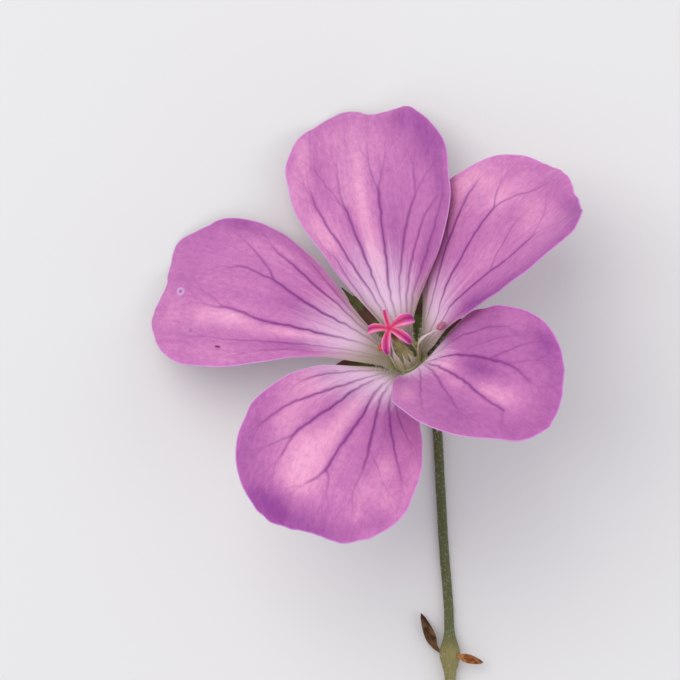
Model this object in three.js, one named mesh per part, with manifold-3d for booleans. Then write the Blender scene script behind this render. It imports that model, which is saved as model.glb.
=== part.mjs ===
// One open bloom of a hardy geranium, picked with its stalk and laid face up on a surface.
// Five broad petals form a shallow funnel, with five sepals behind them. In the throat stand the
// ovary and its style column, the five curled stigma lobes and the pale filaments. The stalk bends
// under the bloom, lies along -Y and ends in its swollen joint and a short piece of the main stem.
// Units are millimetres, +Z is up, and the origin is the middle of the footprint.

import * as THREE from 'three';
import { mergeVertices } from 'three/addons/utils/BufferGeometryUtils.js';
import Module from 'manifold-3d';

// the bloom as a whole
const BLOOM_HEIGHT = 5.05; // from the surface to the foot of the petals
const BLOOM_TILT = 30.8; // degrees between the bloom's axis and the vertical
const BLOOM_HEADING = 121; // degrees from +X to the side that the bloom leans to
const BLADE = 0.6; // thickness of every petal, sepal and bract

// petals: lengths, reaches and the claw's half width in mm, angles in degrees, widestAt and skew as
// shares of the length; flareSkew makes one side open later than the other
const PETAL_FOOT = { radius: 1.85, height: 0 };
const PETAL_ROWS = 18;
const PETAL_COLUMNS = 20;
const RUFFLE = 0.28; // how far the margin waves out of the blade

// lobes are margin waves: place across the blade (-1 to 1), reach beyond the outline, breadth;
// turns are where a side margin leaves that form: side (-1 or 1), place and breadth as shares of the
// length, reach outwards and lift off the blade
const PETALS = {
  petal_top: {
    azimuth: 100, length: 22.7, halfWidth: 7.55, claw: 0.95, widestAt: 0.66, skew: 0.1,
    roundness: 2.25, flare: 1.54, flareSkew: -0.22, rise: [59, -12.5], riseFade: 0.8,
    cup: 14, roll: -10, twist: 12, drift: -0.02,
    lobes: [
      [-0.85, 0.27, 0.15], [-0.51, 0.18, 0.16], [-0.09, -0.45, 0.18],
      [0.1, -0.05, 0.15], [0.44, 0.53, 0.27],
    ],
  },
  petal_upper_right: {
    azimuth: 35.5, length: 21.6, halfWidth: 8.8, claw: 0.9, widestAt: 0.7, skew: -0.18,
    roundness: 2.15, flare: 1.58, flareSkew: -0.06, rise: [59.5, 3], riseFade: 0.84,
    cup: 22, roll: -18, twist: -2.5, drift: 0,
    lobes: [
      [-0.81, 0.2, 0.13], [-0.65, 0.25, 0.15], [-0.28, 0.08, 0.19],
      [0, 0.35, 0.21],
    ],
  },
  petal_right: {
    azimuth: 323.5, length: 23, halfWidth: 7.35, claw: 0.75, widestAt: 0.67, skew: 0.04,
    roundness: 1.75, flare: 0.76, flareSkew: -0.2, rise: [69.5, -4.5], riseFade: 0.86,
    cup: 30, roll: -9.5, twist: 5.5, drift: -0.02,
    lobes: [
      [-0.68, -0.79, 0.19], [-0.54, -0.27, 0.14], [-0.27, 0.26, 0.24],
      [0.26, -0.06, 0.19],
    ],
    turns: [
      [-1, 0.14, 0.08, -0.2, 0.5], [-1, 0.3, 0.08, -0.25, 0], [1, 0.06, 0.08, 0, 0.2],
    ],
  },
  petal_bottom: {
    azimuth: 251, length: 22.5, halfWidth: 8.25, claw: 0.75, widestAt: 0.68, skew: 0.02,
    roundness: 2.25, flare: 0.96, flareSkew: -0.06, rise: [57.5, -2], riseFade: 0.8,
    cup: 7.5, roll: -20, twist: 2.5, drift: 0.045,
    lobes: [
      [-0.69, 0.17, 0.12], [-0.33, 0.46, 0.11], [0.07, -0.27, 0.18],
      [0.45, 0.29, 0.18], [0.79, -0.11, 0.14],
    ],
  },
  petal_upper_left: {
    azimuth: 167.5, length: 22.9, halfWidth: 7.8, claw: 1.15, widestAt: 0.72, skew: 0.06,
    roundness: 2.25, flare: 1.58, flareSkew: 0.22, rise: [56.5, -18], riseFade: 0.78,
    cup: 3.5, roll: 16, twist: -19, drift: -0.075,
    lobes: [
      [-0.75, -0.72, 0.16], [-0.5, 0.2, 0.19], [-0.24, 0.16, 0.14],
      [0.08, -0.56, 0.18], [0.51, 0.95, 0.19], [0.76, 0.2, 0.14],
    ],
  },
};

// sepals stand between the petals, a little lower on the receptacle
const SEPAL_AZIMUTHS = { sepal_1: 18, sepal_2: 70, sepal_3: 132, sepal_4: 198, sepal_5: 296 };
const SEPAL_FOOT = { radius: 2.15, height: -1.15 };
const SEPAL = {
  length: 7.4, foot: 0.75, bulge: 1.15, bristle: 0.22, bladeShare: 0.84, rise: [33, 14],
  riseFade: 1, cup: 26,
};
const SEPAL_ROWS = 13;
const SEPAL_COLUMNS = 7;

// receptacle, nectaries and stalk
const RECEPTACLE = { top: -0.4, rim: 1.85, depth: 2.0 };
const NECTARY = { radius: 0.27, ring: 1.62 };
const STALK_RADIUS = 0.43;
const JOINT_RADIUS = 0.95;
const STUB_RADIUS = 0.6;
const JOINT_HALF_LENGTH = 2.1;
const UNDERSIDE_TRIM = 0.09; // how much the lying stalk is flattened where it rests
const STALK_BEND_END = [2.9, -6.9];
const STALK_HALFWAY = [3.45, -17];
const STALK_JOINT = [4, -26.9];
const STALK_END = [4.15, -33.4];
const STALK_SIDES = 12;

// bracts at the joint: foot, heading and rises in degrees
const BRACTS = {
  bract_left: {
    foot: [2.55, -26.1, 0.75], heading: 112, length: 3.1, halfWidth: 0.6, rise: [8, -14],
    colour: 0x6b4a2c,
  },
  bract_right: {
    foot: [5.0, -27.1, 1.72], heading: -16, length: 2.2, halfWidth: 0.5, rise: [10, -38],
    colour: 0xb5713c,
  },
};

// pistil, stigma and stamens
const OVARY_RADIUS = 0.76;
const COLUMN_RADIUS = 0.3;
const COLUMN_TOP = 5.2;
const STIGMA_START = 5.62;
const STIGMA_LOBES = [24, 106, 182, 266, 325];
const LOBE_RADIUS = 0.34;
const FILAMENT_RADIUS = 0.15;
const FILAMENT_RING = { inner: 0.98, outer: 1.3, low: -0.08, high: 0.24 };
const FILAMENT_HEIGHTS = [4.6, 3.5, 4.4, 3.4, 4.5, 3.5, 3.95, 4.6, 2.2, 1.9]; // counterclockwise
const LEANING_RADIUS = 0.62; // where the upright filaments end beside the column
const KNEE = 0.66; // height of a filament's bend as a share of its own height
const ANTHER = { long: 0.52, thick: 0.33, clear: 0.2 }; // half length, radius, gap to its filament

// filaments that still carry an anther, by their place in the ring
const SPLAYED = {
  0: { name: 'anther_right', azimuth: 8, radius: 4.5, turn: 40 },
  6: { name: 'anther_left', azimuth: 224, radius: 1.4, turn: -10 },
};

const PETAL_COLOUR = 0xcb7fb9;
const SEPAL_COLOUR = 0x566b35;
const STALK_COLOUR = 0x5d6b3d;
const COLUMN_COLOUR = 0x8d9558;
const STIGMA_COLOUR = 0xd0306e;
const FILAMENT_COLOUR = 0xe6dde0;
const ANTHER_COLOUR = 0xa5666a;

const UP = new THREE.Vector3(0, 0, 1);

const wasm = await Module();
wasm.setup();

const radians = THREE.MathUtils.degToRad;
const { lerp, clamp, smoothstep } = THREE.MathUtils;

// A blade's middle line: it rises from its foot at rise[0] and ends at rise[1], in degrees.
function middleLine({ length, rise, riseFade }) {
  const steps = 160;
  const riseAt = (t) => radians(lerp(rise[0], rise[1], Math.pow(t, riseFade)));
  const out = [0];
  const up = [0];
  for (let i = 1; i <= steps; i += 1) {
    const middle = riseAt((i - 0.5) / steps);
    out.push(out[i - 1] + (Math.cos(middle) * length) / steps);
    up.push(up[i - 1] + (Math.sin(middle) * length) / steps);
  }
  return (t) => {
    const place = clamp(t, 0, 1) * steps;
    const i = Math.min(Math.floor(place), steps - 1);
    const between = place - i + Math.max(t - 1, 0) * steps;
    return {
      out: lerp(out[i], out[i + 1], between),
      up: lerp(up[i], up[i + 1], between),
      rise: riseAt(Math.max(t, 0)),
    };
  };
}

// Carries a point at `side` mm off the middle line round the blade's curved cross-section.
function curvedPoint(line, side, curvature, turn, lift) {
  const angle = side * curvature;
  const across = curvature === 0 ? side : Math.sin(angle) / curvature;
  const raised = (curvature === 0 ? 0 : (1 - Math.cos(angle)) / curvature) + lift;
  const y = across * Math.cos(turn) - raised * Math.sin(turn);
  const n = across * Math.sin(turn) + raised * Math.cos(turn);
  const normalY = -Math.sin(angle + turn);
  const normalN = Math.cos(angle + turn);
  return {
    point: new THREE.Vector3(
      line.out - Math.sin(line.rise) * n,
      y,
      line.up + Math.cos(line.rise) * n,
    ),
    normal: new THREE.Vector3(
      -Math.sin(line.rise) * normalN,
      normalY,
      Math.cos(line.rise) * normalN,
    ),
  };
}

// A petal widens from its narrow claw to `halfWidth` and closes in a rounded, lobed margin.
function petalSurface(petal, index) {
  const line = middleLine(petal);
  const claw = petal.claw / petal.halfWidth;
  const wavePhase = index * 1.7;
  return (acrossShare, alongShare) => {
    const u = Math.sin((Math.PI / 2) * acrossShare);
    const widest = petal.widestAt + petal.skew * u;
    const closing = Math.pow(
      Math.max(1 - Math.pow(Math.abs(u), petal.roundness), 0),
      1 / petal.roundness,
    );
    let end = widest + (1 - widest) * closing;
    for (const [place, reach, breadth] of petal.lobes) {
      end += (reach / petal.length) * Math.exp(-(((u - place) / breadth) ** 2));
    }
    const t = alongShare * end;
    const flare = petal.flare + petal.flareSkew * u;
    const opening = Math.sin((Math.PI / 2) * clamp(t / widest, 0, 1)) ** flare;
    let side = petal.halfWidth * u * (claw + (1 - claw) * opening);
    const turn = radians(petal.roll + petal.twist * t);
    let lift = RUFFLE * Math.sin(Math.PI * 2.6 * u + wavePhase) * t ** 4;
    for (const [edge, place, breadth, reach, raised] of petal.turns ?? []) {
      const share = Math.max(edge * u, 0) ** 3 * Math.exp(-(((t - place) / breadth) ** 2));
      side += edge * reach * share;
      lift += raised * share;
    }
    const place = curvedPoint(line(t), side, radians(petal.cup) / petal.halfWidth, turn, lift);
    place.point.x += PETAL_FOOT.radius;
    place.point.y += petal.drift * t * t * petal.length;
    place.point.z += PETAL_FOOT.height;
    return place;
  };
}

// A sepal is a pointed oval that ends in a stiff bristle.
function sepalSurface() {
  const line = middleLine(SEPAL);
  return (acrossShare, alongShare) => {
    const share = Math.min(alongShare / SEPAL.bladeShare, 1);
    const halfWidth = lerp(SEPAL.foot, SEPAL.bristle, share) + SEPAL.bulge * Math.sin(Math.PI * share);
    const curvature = radians(SEPAL.cup) / (SEPAL.foot + SEPAL.bulge);
    const place = curvedPoint(line(alongShare), acrossShare * halfWidth, curvature, 0, 0);
    place.point.x += SEPAL_FOOT.radius;
    place.point.z += SEPAL_FOOT.height;
    return place;
  };
}

// A bract is a small withered blade that narrows to its tip.
function bractSurface(bract) {
  const line = middleLine({ ...bract, riseFade: 1 });
  return (acrossShare, alongShare) => {
    const halfWidth = bract.halfWidth * (0.45 + 0.55 * Math.sin(Math.PI * alongShare ** 0.8));
    return curvedPoint(line(alongShare), acrossShare * halfWidth * (1 - 0.5 * alongShare), 0.5, 0, 0);
  };
}

// Gives a surface its thickness: two faces split into triangles alike, joined by a rim.
function blade(surface, columns, rows, thickness) {
  const positions = [];
  for (const face of [1, -1]) {
    for (let row = 0; row <= rows; row += 1) {
      for (let column = 0; column <= columns; column += 1) {
        const { point, normal } = surface((2 * column) / columns - 1, row / rows);
        point.addScaledVector(normal, (face * thickness) / 2);
        positions.push(point.x, point.y, point.z);
      }
    }
  }
  const width = columns + 1;
  const backStart = width * (rows + 1);
  const index = [];
  for (let row = 0; row < rows; row += 1) {
    for (let column = 0; column < columns; column += 1) {
      const a = row * width + column;
      const b = a + 1;
      const c = a + width;
      const d = c + 1;
      index.push(a, d, b, a, c, d);
      index.push(backStart + a, backStart + b, backStart + d);
      index.push(backStart + a, backStart + d, backStart + c);
    }
  }
  const rim = [];
  for (let column = 0; column < columns; column += 1) rim.push(column);
  for (let row = 0; row < rows; row += 1) rim.push(row * width + columns);
  for (let column = columns; column > 0; column -= 1) rim.push(rows * width + column);
  for (let row = rows; row > 0; row -= 1) rim.push(row * width);
  rim.forEach((from, i) => {
    const to = rim[(i + 1) % rim.length];
    index.push(from, to, backStart + from, to, backStart + to, backStart + from);
  });
  return closedGeometry(positions, index);
}

function closedGeometry(positions, index) {
  const geometry = new THREE.BufferGeometry();
  geometry.setAttribute('position', new THREE.Float32BufferAttribute(positions, 3));
  geometry.setIndex(index);
  geometry.computeVertexNormals();
  return geometry;
}

// Carries a round section along a curve, at the given shares of its length, and caps both ends.
function sweep(curve, shares, sides, radiusAt) {
  const positions = [];
  const index = [];
  const side = new THREE.Vector3(1, 0, 0);
  let last = curve.getTangentAt(0);
  side.addScaledVector(last, -side.dot(last)).normalize();
  shares.forEach((share) => {
    const centre = curve.getPointAt(share);
    const tangent = curve.getTangentAt(share);
    side.applyQuaternion(new THREE.Quaternion().setFromUnitVectors(last, tangent));
    side.addScaledVector(tangent, -side.dot(tangent)).normalize();
    last = tangent;
    const other = new THREE.Vector3().crossVectors(tangent, side);
    for (let i = 0; i < sides; i += 1) {
      const angle = (2 * Math.PI * (i + 0.5)) / sides;
      const radius = radiusAt(share, angle);
      const point = centre.clone();
      point.addScaledVector(side, radius * Math.cos(angle));
      point.addScaledVector(other, radius * Math.sin(angle));
      positions.push(point.x, point.y, point.z);
    }
  });
  for (let ring = 0; ring < shares.length - 1; ring += 1) {
    for (let i = 0; i < sides; i += 1) {
      const a = ring * sides + i;
      const b = ring * sides + ((i + 1) % sides);
      index.push(a, b, b + sides, a, b + sides, a + sides);
    }
  }
  for (const [ring, share] of [[0, 0], [shares.length - 1, 1]]) {
    const centre = curve.getPointAt(share);
    const hub = positions.length / 3;
    positions.push(centre.x, centre.y, centre.z);
    for (let i = 0; i < sides; i += 1) {
      const a = ring * sides + i;
      const b = ring * sides + ((i + 1) % sides);
      index.push(...(ring === 0 ? [hub, b, a] : [hub, a, b]));
    }
  }
  return closedGeometry(positions, index);
}

const evenShares = (steps) => Array.from({ length: steps + 1 }, (_, i) => i / steps);

function toSolid(geometry) {
  const bare = geometry.clone();
  bare.deleteAttribute('normal');
  bare.deleteAttribute('uv');
  const merged = mergeVertices(bare, 1e-5);
  return new wasm.Manifold(new wasm.Mesh({
    numProp: 3,
    vertProperties: new Float32Array(merged.attributes.position.array),
    triVerts: new Uint32Array(merged.index.array),
  }));
}

function joined(geometries) {
  const whole = geometries.map(toSolid).reduce((sum, next) => sum.add(next));
  const { vertProperties, triVerts } = whole.getMesh();
  return closedGeometry([...vertProperties], [...triVerts]);
}

function makeMesh(name, geometry, colour, roughness) {
  const material = new THREE.MeshStandardMaterial({ color: colour, roughness, metalness: 0 });
  const mesh = new THREE.Mesh(geometry, material);
  mesh.name = name;
  return mesh;
}

// Trims what would dip below the surface, which leaves a small flat spot to rest on.
function flattenUnderside(mesh) {
  mesh.updateWorldMatrix(true, false);
  const toLocal = mesh.matrixWorld.clone().invert();
  const corners = mesh.geometry.attributes.position;
  for (let i = 0; i < corners.count; i += 1) {
    const corner = new THREE.Vector3().fromBufferAttribute(corners, i);
    corner.applyMatrix4(mesh.matrixWorld);
    if (corner.z < 0) {
      corner.z = 0;
      corner.applyMatrix4(toLocal);
      corners.setXYZ(i, corner.x, corner.y, corner.z);
    }
  }
}

function makePetals() {
  return Object.entries(PETALS).map(([name, petal], index) => {
    const geometry = blade(petalSurface(petal, index), PETAL_COLUMNS, PETAL_ROWS, BLADE);
    const mesh = makeMesh(name, geometry, PETAL_COLOUR, 0.55);
    mesh.rotation.z = radians(petal.azimuth);
    return mesh;
  });
}

function makeSepals() {
  return Object.entries(SEPAL_AZIMUTHS).map(([name, azimuth]) => {
    const geometry = blade(sepalSurface(), SEPAL_COLUMNS - 1, SEPAL_ROWS, BLADE);
    const mesh = makeMesh(name, geometry, SEPAL_COLOUR, 0.7);
    mesh.rotation.z = radians(azimuth);
    return mesh;
  });
}

// The pistil: a five-lobed ovary that narrows to the style column.
function makePistil() {
  const foot = -0.2;
  const column = new THREE.LineCurve3(
    new THREE.Vector3(0, 0, foot),
    new THREE.Vector3(0, 0, COLUMN_TOP),
  );
  const radiusAt = (share, angle) => {
    const height = lerp(foot, COLUMN_TOP, share);
    const swelling = Math.exp(-(((height - 0.65) / 0.95) ** 2));
    const ribs = 1 + 0.07 * swelling * Math.cos(5 * angle);
    const taper = COLUMN_RADIUS * (1 - 0.12 * share);
    return (taper + (OVARY_RADIUS - COLUMN_RADIUS) * swelling) * ribs;
  };
  return makeMesh('pistil', sweep(column, evenShares(16), 15, radiusAt), COLUMN_COLOUR, 0.7);
}

// The stigma: five tongues that rise from the column's top and curl back outwards.
function makeStigma() {
  const lobes = STIGMA_LOBES.map((azimuth) => {
    const curve = new THREE.CatmullRomCurve3([
      new THREE.Vector3(0.02, 0, STIGMA_START),
      new THREE.Vector3(0.5, 0, STIGMA_START + 0.62),
      new THREE.Vector3(1.25, 0, STIGMA_START + 0.82),
      new THREE.Vector3(1.85, 0, STIGMA_START + 0.5),
      new THREE.Vector3(2.0, 0, STIGMA_START + 0.05),
    ]);
    const radiusAt = (share) => LOBE_RADIUS * (0.85 + 0.3 * Math.sin(Math.PI * share ** 1.3));
    const lobe = sweep(curve, evenShares(8), 8, radiusAt);
    return lobe.rotateZ(radians(azimuth));
  });
  const core = new THREE.IcosahedronGeometry(0.42, 1).translate(0, 0, STIGMA_START + 0.42);
  return makeMesh('stigma', joined([core, ...lobes]), STIGMA_COLOUR, 0.45);
}

// The filaments grow from one low ring round the ovary and lean against the column.
function makeFilaments() {
  const { inner, outer, low, high } = FILAMENT_RING;
  const profile = [[inner, low], [outer, low], [outer, high], [inner, high], [inner, low]];
  const ring = new THREE.LatheGeometry(profile.map(([r, z]) => new THREE.Vector2(r, z)), 30);
  ring.rotateX(Math.PI / 2);
  const middle = (inner + outer) / 2;
  const filaments = [];
  for (let i = 0; i < FILAMENT_HEIGHTS.length; i += 1) {
    const own = SPLAYED[i];
    const azimuth = (360 / FILAMENT_HEIGHTS.length) * i;
    const height = FILAMENT_HEIGHTS[i];
    const reach = own ? own.radius : LEANING_RADIUS;
    const swing = own ? own.azimuth - azimuth : 0;
    const tip = new THREE.Vector3(reach, 0, height).applyAxisAngle(UP, radians(swing));
    const knee = new THREE.Vector3(lerp(middle, reach, 0.28), 0, height * KNEE);
    knee.applyAxisAngle(UP, radians(swing * 0.3));
    const curve = new THREE.CatmullRomCurve3([new THREE.Vector3(middle, 0, 0.05), knee, tip]);
    const filament = sweep(curve, evenShares(6), 6, (share) => FILAMENT_RADIUS * (1.15 - 0.25 * share));
    filaments.push(filament.rotateZ(radians(azimuth)));
  }
  return makeMesh('filaments', joined([ring, ...filaments]), FILAMENT_COLOUR, 0.5);
}

function makeAnthers() {
  return Object.entries(SPLAYED).map(([place, { name, azimuth, radius, turn }]) => {
    const height = FILAMENT_HEIGHTS[place] + ANTHER.thick + ANTHER.clear;
    const geometry = new THREE.IcosahedronGeometry(1, 1);
    geometry.scale(ANTHER.long, ANTHER.thick, ANTHER.thick).rotateZ(radians(turn));
    const mesh = makeMesh(name, geometry, ANTHER_COLOUR, 0.8);
    mesh.position.set(radius, 0, height).applyAxisAngle(UP, radians(azimuth));
    return mesh;
  });
}

// The directions midway between each petal and the next.
function betweenPetals() {
  const azimuths = Object.values(PETALS).map(({ azimuth }) => azimuth).sort((a, b) => a - b);
  return azimuths.map((azimuth, i) => {
    const next = i + 1 < azimuths.length ? azimuths[i + 1] : azimuths[0] + 360;
    return (azimuth + next) / 2;
  });
}

// The stalk: receptacle with its nectaries, the bend, the lying stretch, the joint and the stub.
function makeStalk(toPart) {
  const onBloom = (x, y, z) => new THREE.Vector3(x, y, z).applyMatrix4(toPart);
  const lying = ([x, y], radius) => new THREE.Vector3(x, y, radius - UNDERSIDE_TRIM);
  const top = onBloom(0, 0, RECEPTACLE.top);
  const bendStart = onBloom(0, 0, RECEPTACLE.top - RECEPTACLE.depth);
  const bendEnd = lying(STALK_BEND_END, STALK_RADIUS);
  const reach = bendStart.distanceTo(bendEnd) * 0.36;
  const down = bendStart.clone().sub(top).normalize();
  const curve = new THREE.CurvePath();
  curve.add(new THREE.LineCurve3(top, bendStart));
  curve.add(new THREE.CubicBezierCurve3(
    bendStart,
    bendStart.clone().addScaledVector(down, reach),
    bendEnd.clone().add(new THREE.Vector3(0, reach, 0)),
    bendEnd,
  ));
  curve.add(new THREE.CatmullRomCurve3([
    bendEnd,
    lying(STALK_HALFWAY, STALK_RADIUS),
    lying(STALK_JOINT, JOINT_RADIUS).add(new THREE.Vector3(-0.1, 2 * JOINT_HALF_LENGTH, -0.5)),
    lying(STALK_JOINT, JOINT_RADIUS),
    lying(STALK_END, STUB_RADIUS),
  ]));
  const length = curve.getLength();
  const jointAt = length - (STALK_JOINT[1] - STALK_END[1]);
  const radiusAt = (share) => {
    const run = share * length;
    const bowl = 1 - smoothstep(run, 0.25, RECEPTACLE.depth);
    const joint = Math.exp(-(((run - jointAt) / (JOINT_HALF_LENGTH * 0.62)) ** 2));
    const plain = lerp(STALK_RADIUS, STUB_RADIUS, smoothstep(run, jointAt, length));
    const swollen = plain + (JOINT_RADIUS - plain) * joint;
    return swollen + (RECEPTACLE.rim - STALK_RADIUS) * bowl ** 0.8;
  };
  const bowlRuns = [0, 0.3, 0.7, 1.1, 1.5, 1.9, 2.4];
  const stretchRuns = Array.from({ length: 44 }, (_, i) => lerp(3.1, length, i / 43));
  const shares = [...bowlRuns, ...stretchRuns].map((run) => run / length);
  const nectaries = betweenPetals().map((azimuth) => {
    const place = new THREE.Vector3(NECTARY.ring, 0, RECEPTACLE.top);
    place.applyAxisAngle(UP, radians(azimuth)).applyMatrix4(toPart);
    return new THREE.IcosahedronGeometry(NECTARY.radius, 1).translate(place.x, place.y, place.z);
  });
  const geometry = joined([sweep(curve, shares, STALK_SIDES, radiusAt), ...nectaries]);
  return makeMesh('stalk', geometry, STALK_COLOUR, 0.7);
}

function makeBracts() {
  return Object.entries(BRACTS).map(([name, bract]) => {
    const mesh = makeMesh(name, blade(bractSurface(bract), 4, 6, BLADE), bract.colour, 0.85);
    mesh.rotation.z = radians(bract.heading);
    mesh.position.set(...bract.foot);
    return mesh;
  });
}

const heading = radians(BLOOM_HEADING);
const leanAxis = new THREE.Vector3(-Math.sin(heading), Math.cos(heading), 0);

const bloom = new THREE.Group();
bloom.position.z = BLOOM_HEIGHT;
bloom.quaternion.setFromAxisAngle(leanAxis, radians(BLOOM_TILT));
bloom.updateMatrix();
bloom.add(...makePetals(), ...makeSepals(), makePistil(), makeStigma(), makeFilaments());
bloom.add(...makeAnthers());

const flower = new THREE.Group();
flower.add(bloom, makeStalk(bloom.matrix), ...makeBracts());
flower.updateMatrixWorld(true);
flower.traverse((piece) => {
  if (piece.isMesh) flattenUnderside(piece);
});

const footprint = new THREE.Box3().setFromObject(flower, true);
flower.position.x -= (footprint.min.x + footprint.max.x) / 2;
flower.position.y -= (footprint.min.y + footprint.max.y) / 2;

const part = new THREE.Group();
part.add(flower);
part.updateMatrixWorld(true);

export default part;
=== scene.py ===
import bpy
import numpy as np
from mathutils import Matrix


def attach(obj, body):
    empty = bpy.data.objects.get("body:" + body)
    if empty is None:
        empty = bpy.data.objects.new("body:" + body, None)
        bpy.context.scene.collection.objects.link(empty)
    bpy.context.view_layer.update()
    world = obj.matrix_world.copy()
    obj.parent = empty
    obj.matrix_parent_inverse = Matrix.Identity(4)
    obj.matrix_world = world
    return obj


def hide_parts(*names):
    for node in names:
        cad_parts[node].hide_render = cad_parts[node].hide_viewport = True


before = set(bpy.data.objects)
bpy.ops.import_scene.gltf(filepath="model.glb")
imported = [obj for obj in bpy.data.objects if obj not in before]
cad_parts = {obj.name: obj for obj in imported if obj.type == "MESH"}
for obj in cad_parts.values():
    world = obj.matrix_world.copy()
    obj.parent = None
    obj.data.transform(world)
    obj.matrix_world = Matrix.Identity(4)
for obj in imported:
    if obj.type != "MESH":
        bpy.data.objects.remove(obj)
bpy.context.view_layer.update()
mm = 0.001  # every shape below is worked out in millimetres and scaled once, in addPiece

camera = {
    "height": 405.05,  # above the floor, looking straight down
    "aim": (-2.03, 6.835),
    "fieldWidth": 61.2,  # how much the frame takes in, at the height of the bloom's foot
    "sensor": 36.0,
}
bloom = {
    "foot": (3.957, 5.197, 5.05),
    "tilt": 30.8,  # degrees between the bloom's axis and the vertical
    "heading": 121.0,  # degrees from +X to the side that the bloom leans to
}


def addCamera():
    shot = bpy.data.cameras.new("camera")
    shot.sensor_width = camera["sensor"]
    shot.lens = camera["sensor"] * (camera["height"] - bloom["foot"][2]) / camera["fieldWidth"]
    shot.clip_start = 0.01
    holder = bpy.data.objects.new("camera", shot)
    holder.location = [camera["aim"][0] * mm, camera["aim"][1] * mm, camera["height"] * mm]
    bpy.context.scene.collection.objects.link(holder)
    bpy.context.scene.camera = holder


addCamera()
print("camera placed")


# shapes as whole arrays

upwards = (0, 0, 1)


def turned(points, axis, degrees):
    # Rodrigues' rotation: p cos(a) + (axis x p) sin(a) + axis (axis . p) (1 - cos(a))
    axis = np.asarray(axis, float)
    angle = np.radians(degrees)
    along = (points @ axis)[..., None] * axis
    return points * np.cos(angle) + np.cross(axis, points) * np.sin(angle) + along * (1 - np.cos(angle))


def leaned(points, azimuth=0.0):
    # turns by the azimuth about the bloom's axis, then leans the axis over towards the heading
    heading = np.radians(bloom["heading"])
    upright = turned(points, upwards, azimuth)
    return turned(upright, (-np.sin(heading), np.cos(heading), 0), bloom["tilt"])


def fromBloom(points, azimuth=0.0):
    return leaned(points, azimuth) + bloom["foot"]


def ease(x, low, high):
    # 3s² - 2s³, where s runs from 0 at low to 1 at high
    s = np.clip((x - low) / (high - low), 0, 1)
    return s * s * (3 - 2 * s)


def bell(x, middle, breadth):
    # exp(-((x - middle) / breadth)²)
    return np.exp(-(((x - middle) / breadth) ** 2))


def unit(vectors):
    return vectors / np.linalg.norm(vectors, axis=-1, keepdims=True)


def fullTurn(count):
    return np.linspace(0, 2 * np.pi, count, endpoint=False)


def softNoise(x, y, rng):
    # random heights at the whole numbers, eased from one to the next both ways
    size = 64
    heights = rng.uniform(-1, 1, (size, size))
    column, row = np.floor(x).astype(int), np.floor(y).astype(int)
    across, up = ease(x - column, 0, 1), ease(y - row, 0, 1)
    after, above = (column + 1) % size, (row + 1) % size
    column, row = column % size, row % size
    low = heights[column, row] * (1 - across) + heights[after, row] * across
    high = heights[column, above] * (1 - across) + heights[after, above] * across
    return low * (1 - up) + high * up


def slopeAt(rise, fade, t):
    # rise[0] degrees at the foot and rise[1] at the tip, by t to the power fade
    return np.radians(rise[0] + (rise[1] - rise[0]) * np.maximum(t, 0) ** fade)


def middleLine(length, rise, fade, t):
    # adds up steps of equal length, each at its own slope: how far out and how far up the line is at t
    edges = np.linspace(-0.25, 1.1, 541)
    slope = slopeAt(rise, fade, (edges[1:] + edges[:-1]) / 2)
    step = length * (edges[1] - edges[0])
    out = np.concatenate([[0], np.cumsum(np.cos(slope) * step)])
    up = np.concatenate([[0], np.cumsum(np.sin(slope) * step)])
    out -= np.interp(0, edges, out)
    up -= np.interp(0, edges, up)
    return np.interp(t, edges, out), np.interp(t, edges, up), slopeAt(rise, fade, t)


def curvedBlade(out, up, slope, side, curvature, turn, lift):
    # bends the cross-section into an arc of that curvature, turns it about the middle line and stands
    # it square to the slope; returns the points and the directions square to the blade
    angle = side * curvature
    across = np.sin(angle) / curvature
    raised = (1 - np.cos(angle)) / curvature + lift
    y = across * np.cos(turn) - raised * np.sin(turn)
    n = across * np.sin(turn) + raised * np.cos(turn)
    squareY, squareN = -np.sin(angle + turn), np.cos(angle + turn)
    points = np.stack([out - np.sin(slope) * n, y, up + np.cos(slope) * n], -1)
    square = np.stack([-np.sin(slope) * squareN, squareY, np.cos(slope) * squareN], -1)
    return points, square


def bladeGrid(columns, rows):
    # across runs from -1 to 1 and along from 0 to 1
    return np.meshgrid(np.linspace(-1, 1, columns + 1), np.linspace(0, 1, rows + 1))


def gridTriangles(rows, columns, start=0, closed=False, faceDown=False):
    # two triangles for each cell of a grid of points; closed joins the last column to the first
    width = columns if closed else columns + 1
    row, column = np.meshgrid(np.arange(rows), np.arange(columns), indexing="ij")
    a = (row * width + column).ravel()
    b = (row * width + (column + 1) % width).ravel()
    c, d = a + width, b + width
    cells = np.concatenate([np.stack([a, d, b], -1), np.stack([a, c, d], -1)]) + start
    return cells[:, ::-1] if faceDown else cells


def cappedRings(count, sides):
    # the faces of rings that follow each other, and of a fan from a hub on the first and the last ring;
    # the two hubs come after the rings' points
    ring = np.arange(sides)
    after = (ring + 1) % sides
    last = (count - 1) * sides
    return np.concatenate([
        gridTriangles(count - 1, sides, closed=True, faceDown=True),
        np.stack([np.full(sides, count * sides), after, ring], -1),
        np.stack([np.full(sides, count * sides + 1), last + ring, last + after], -1),
    ])


def ballAngles(rows, sides):
    # the angle from the pole and the angle round it, on all rows but the two poles
    return np.meshgrid(np.linspace(0, np.pi, rows + 2)[1:-1], fullTurn(sides), indexing="ij")


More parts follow.
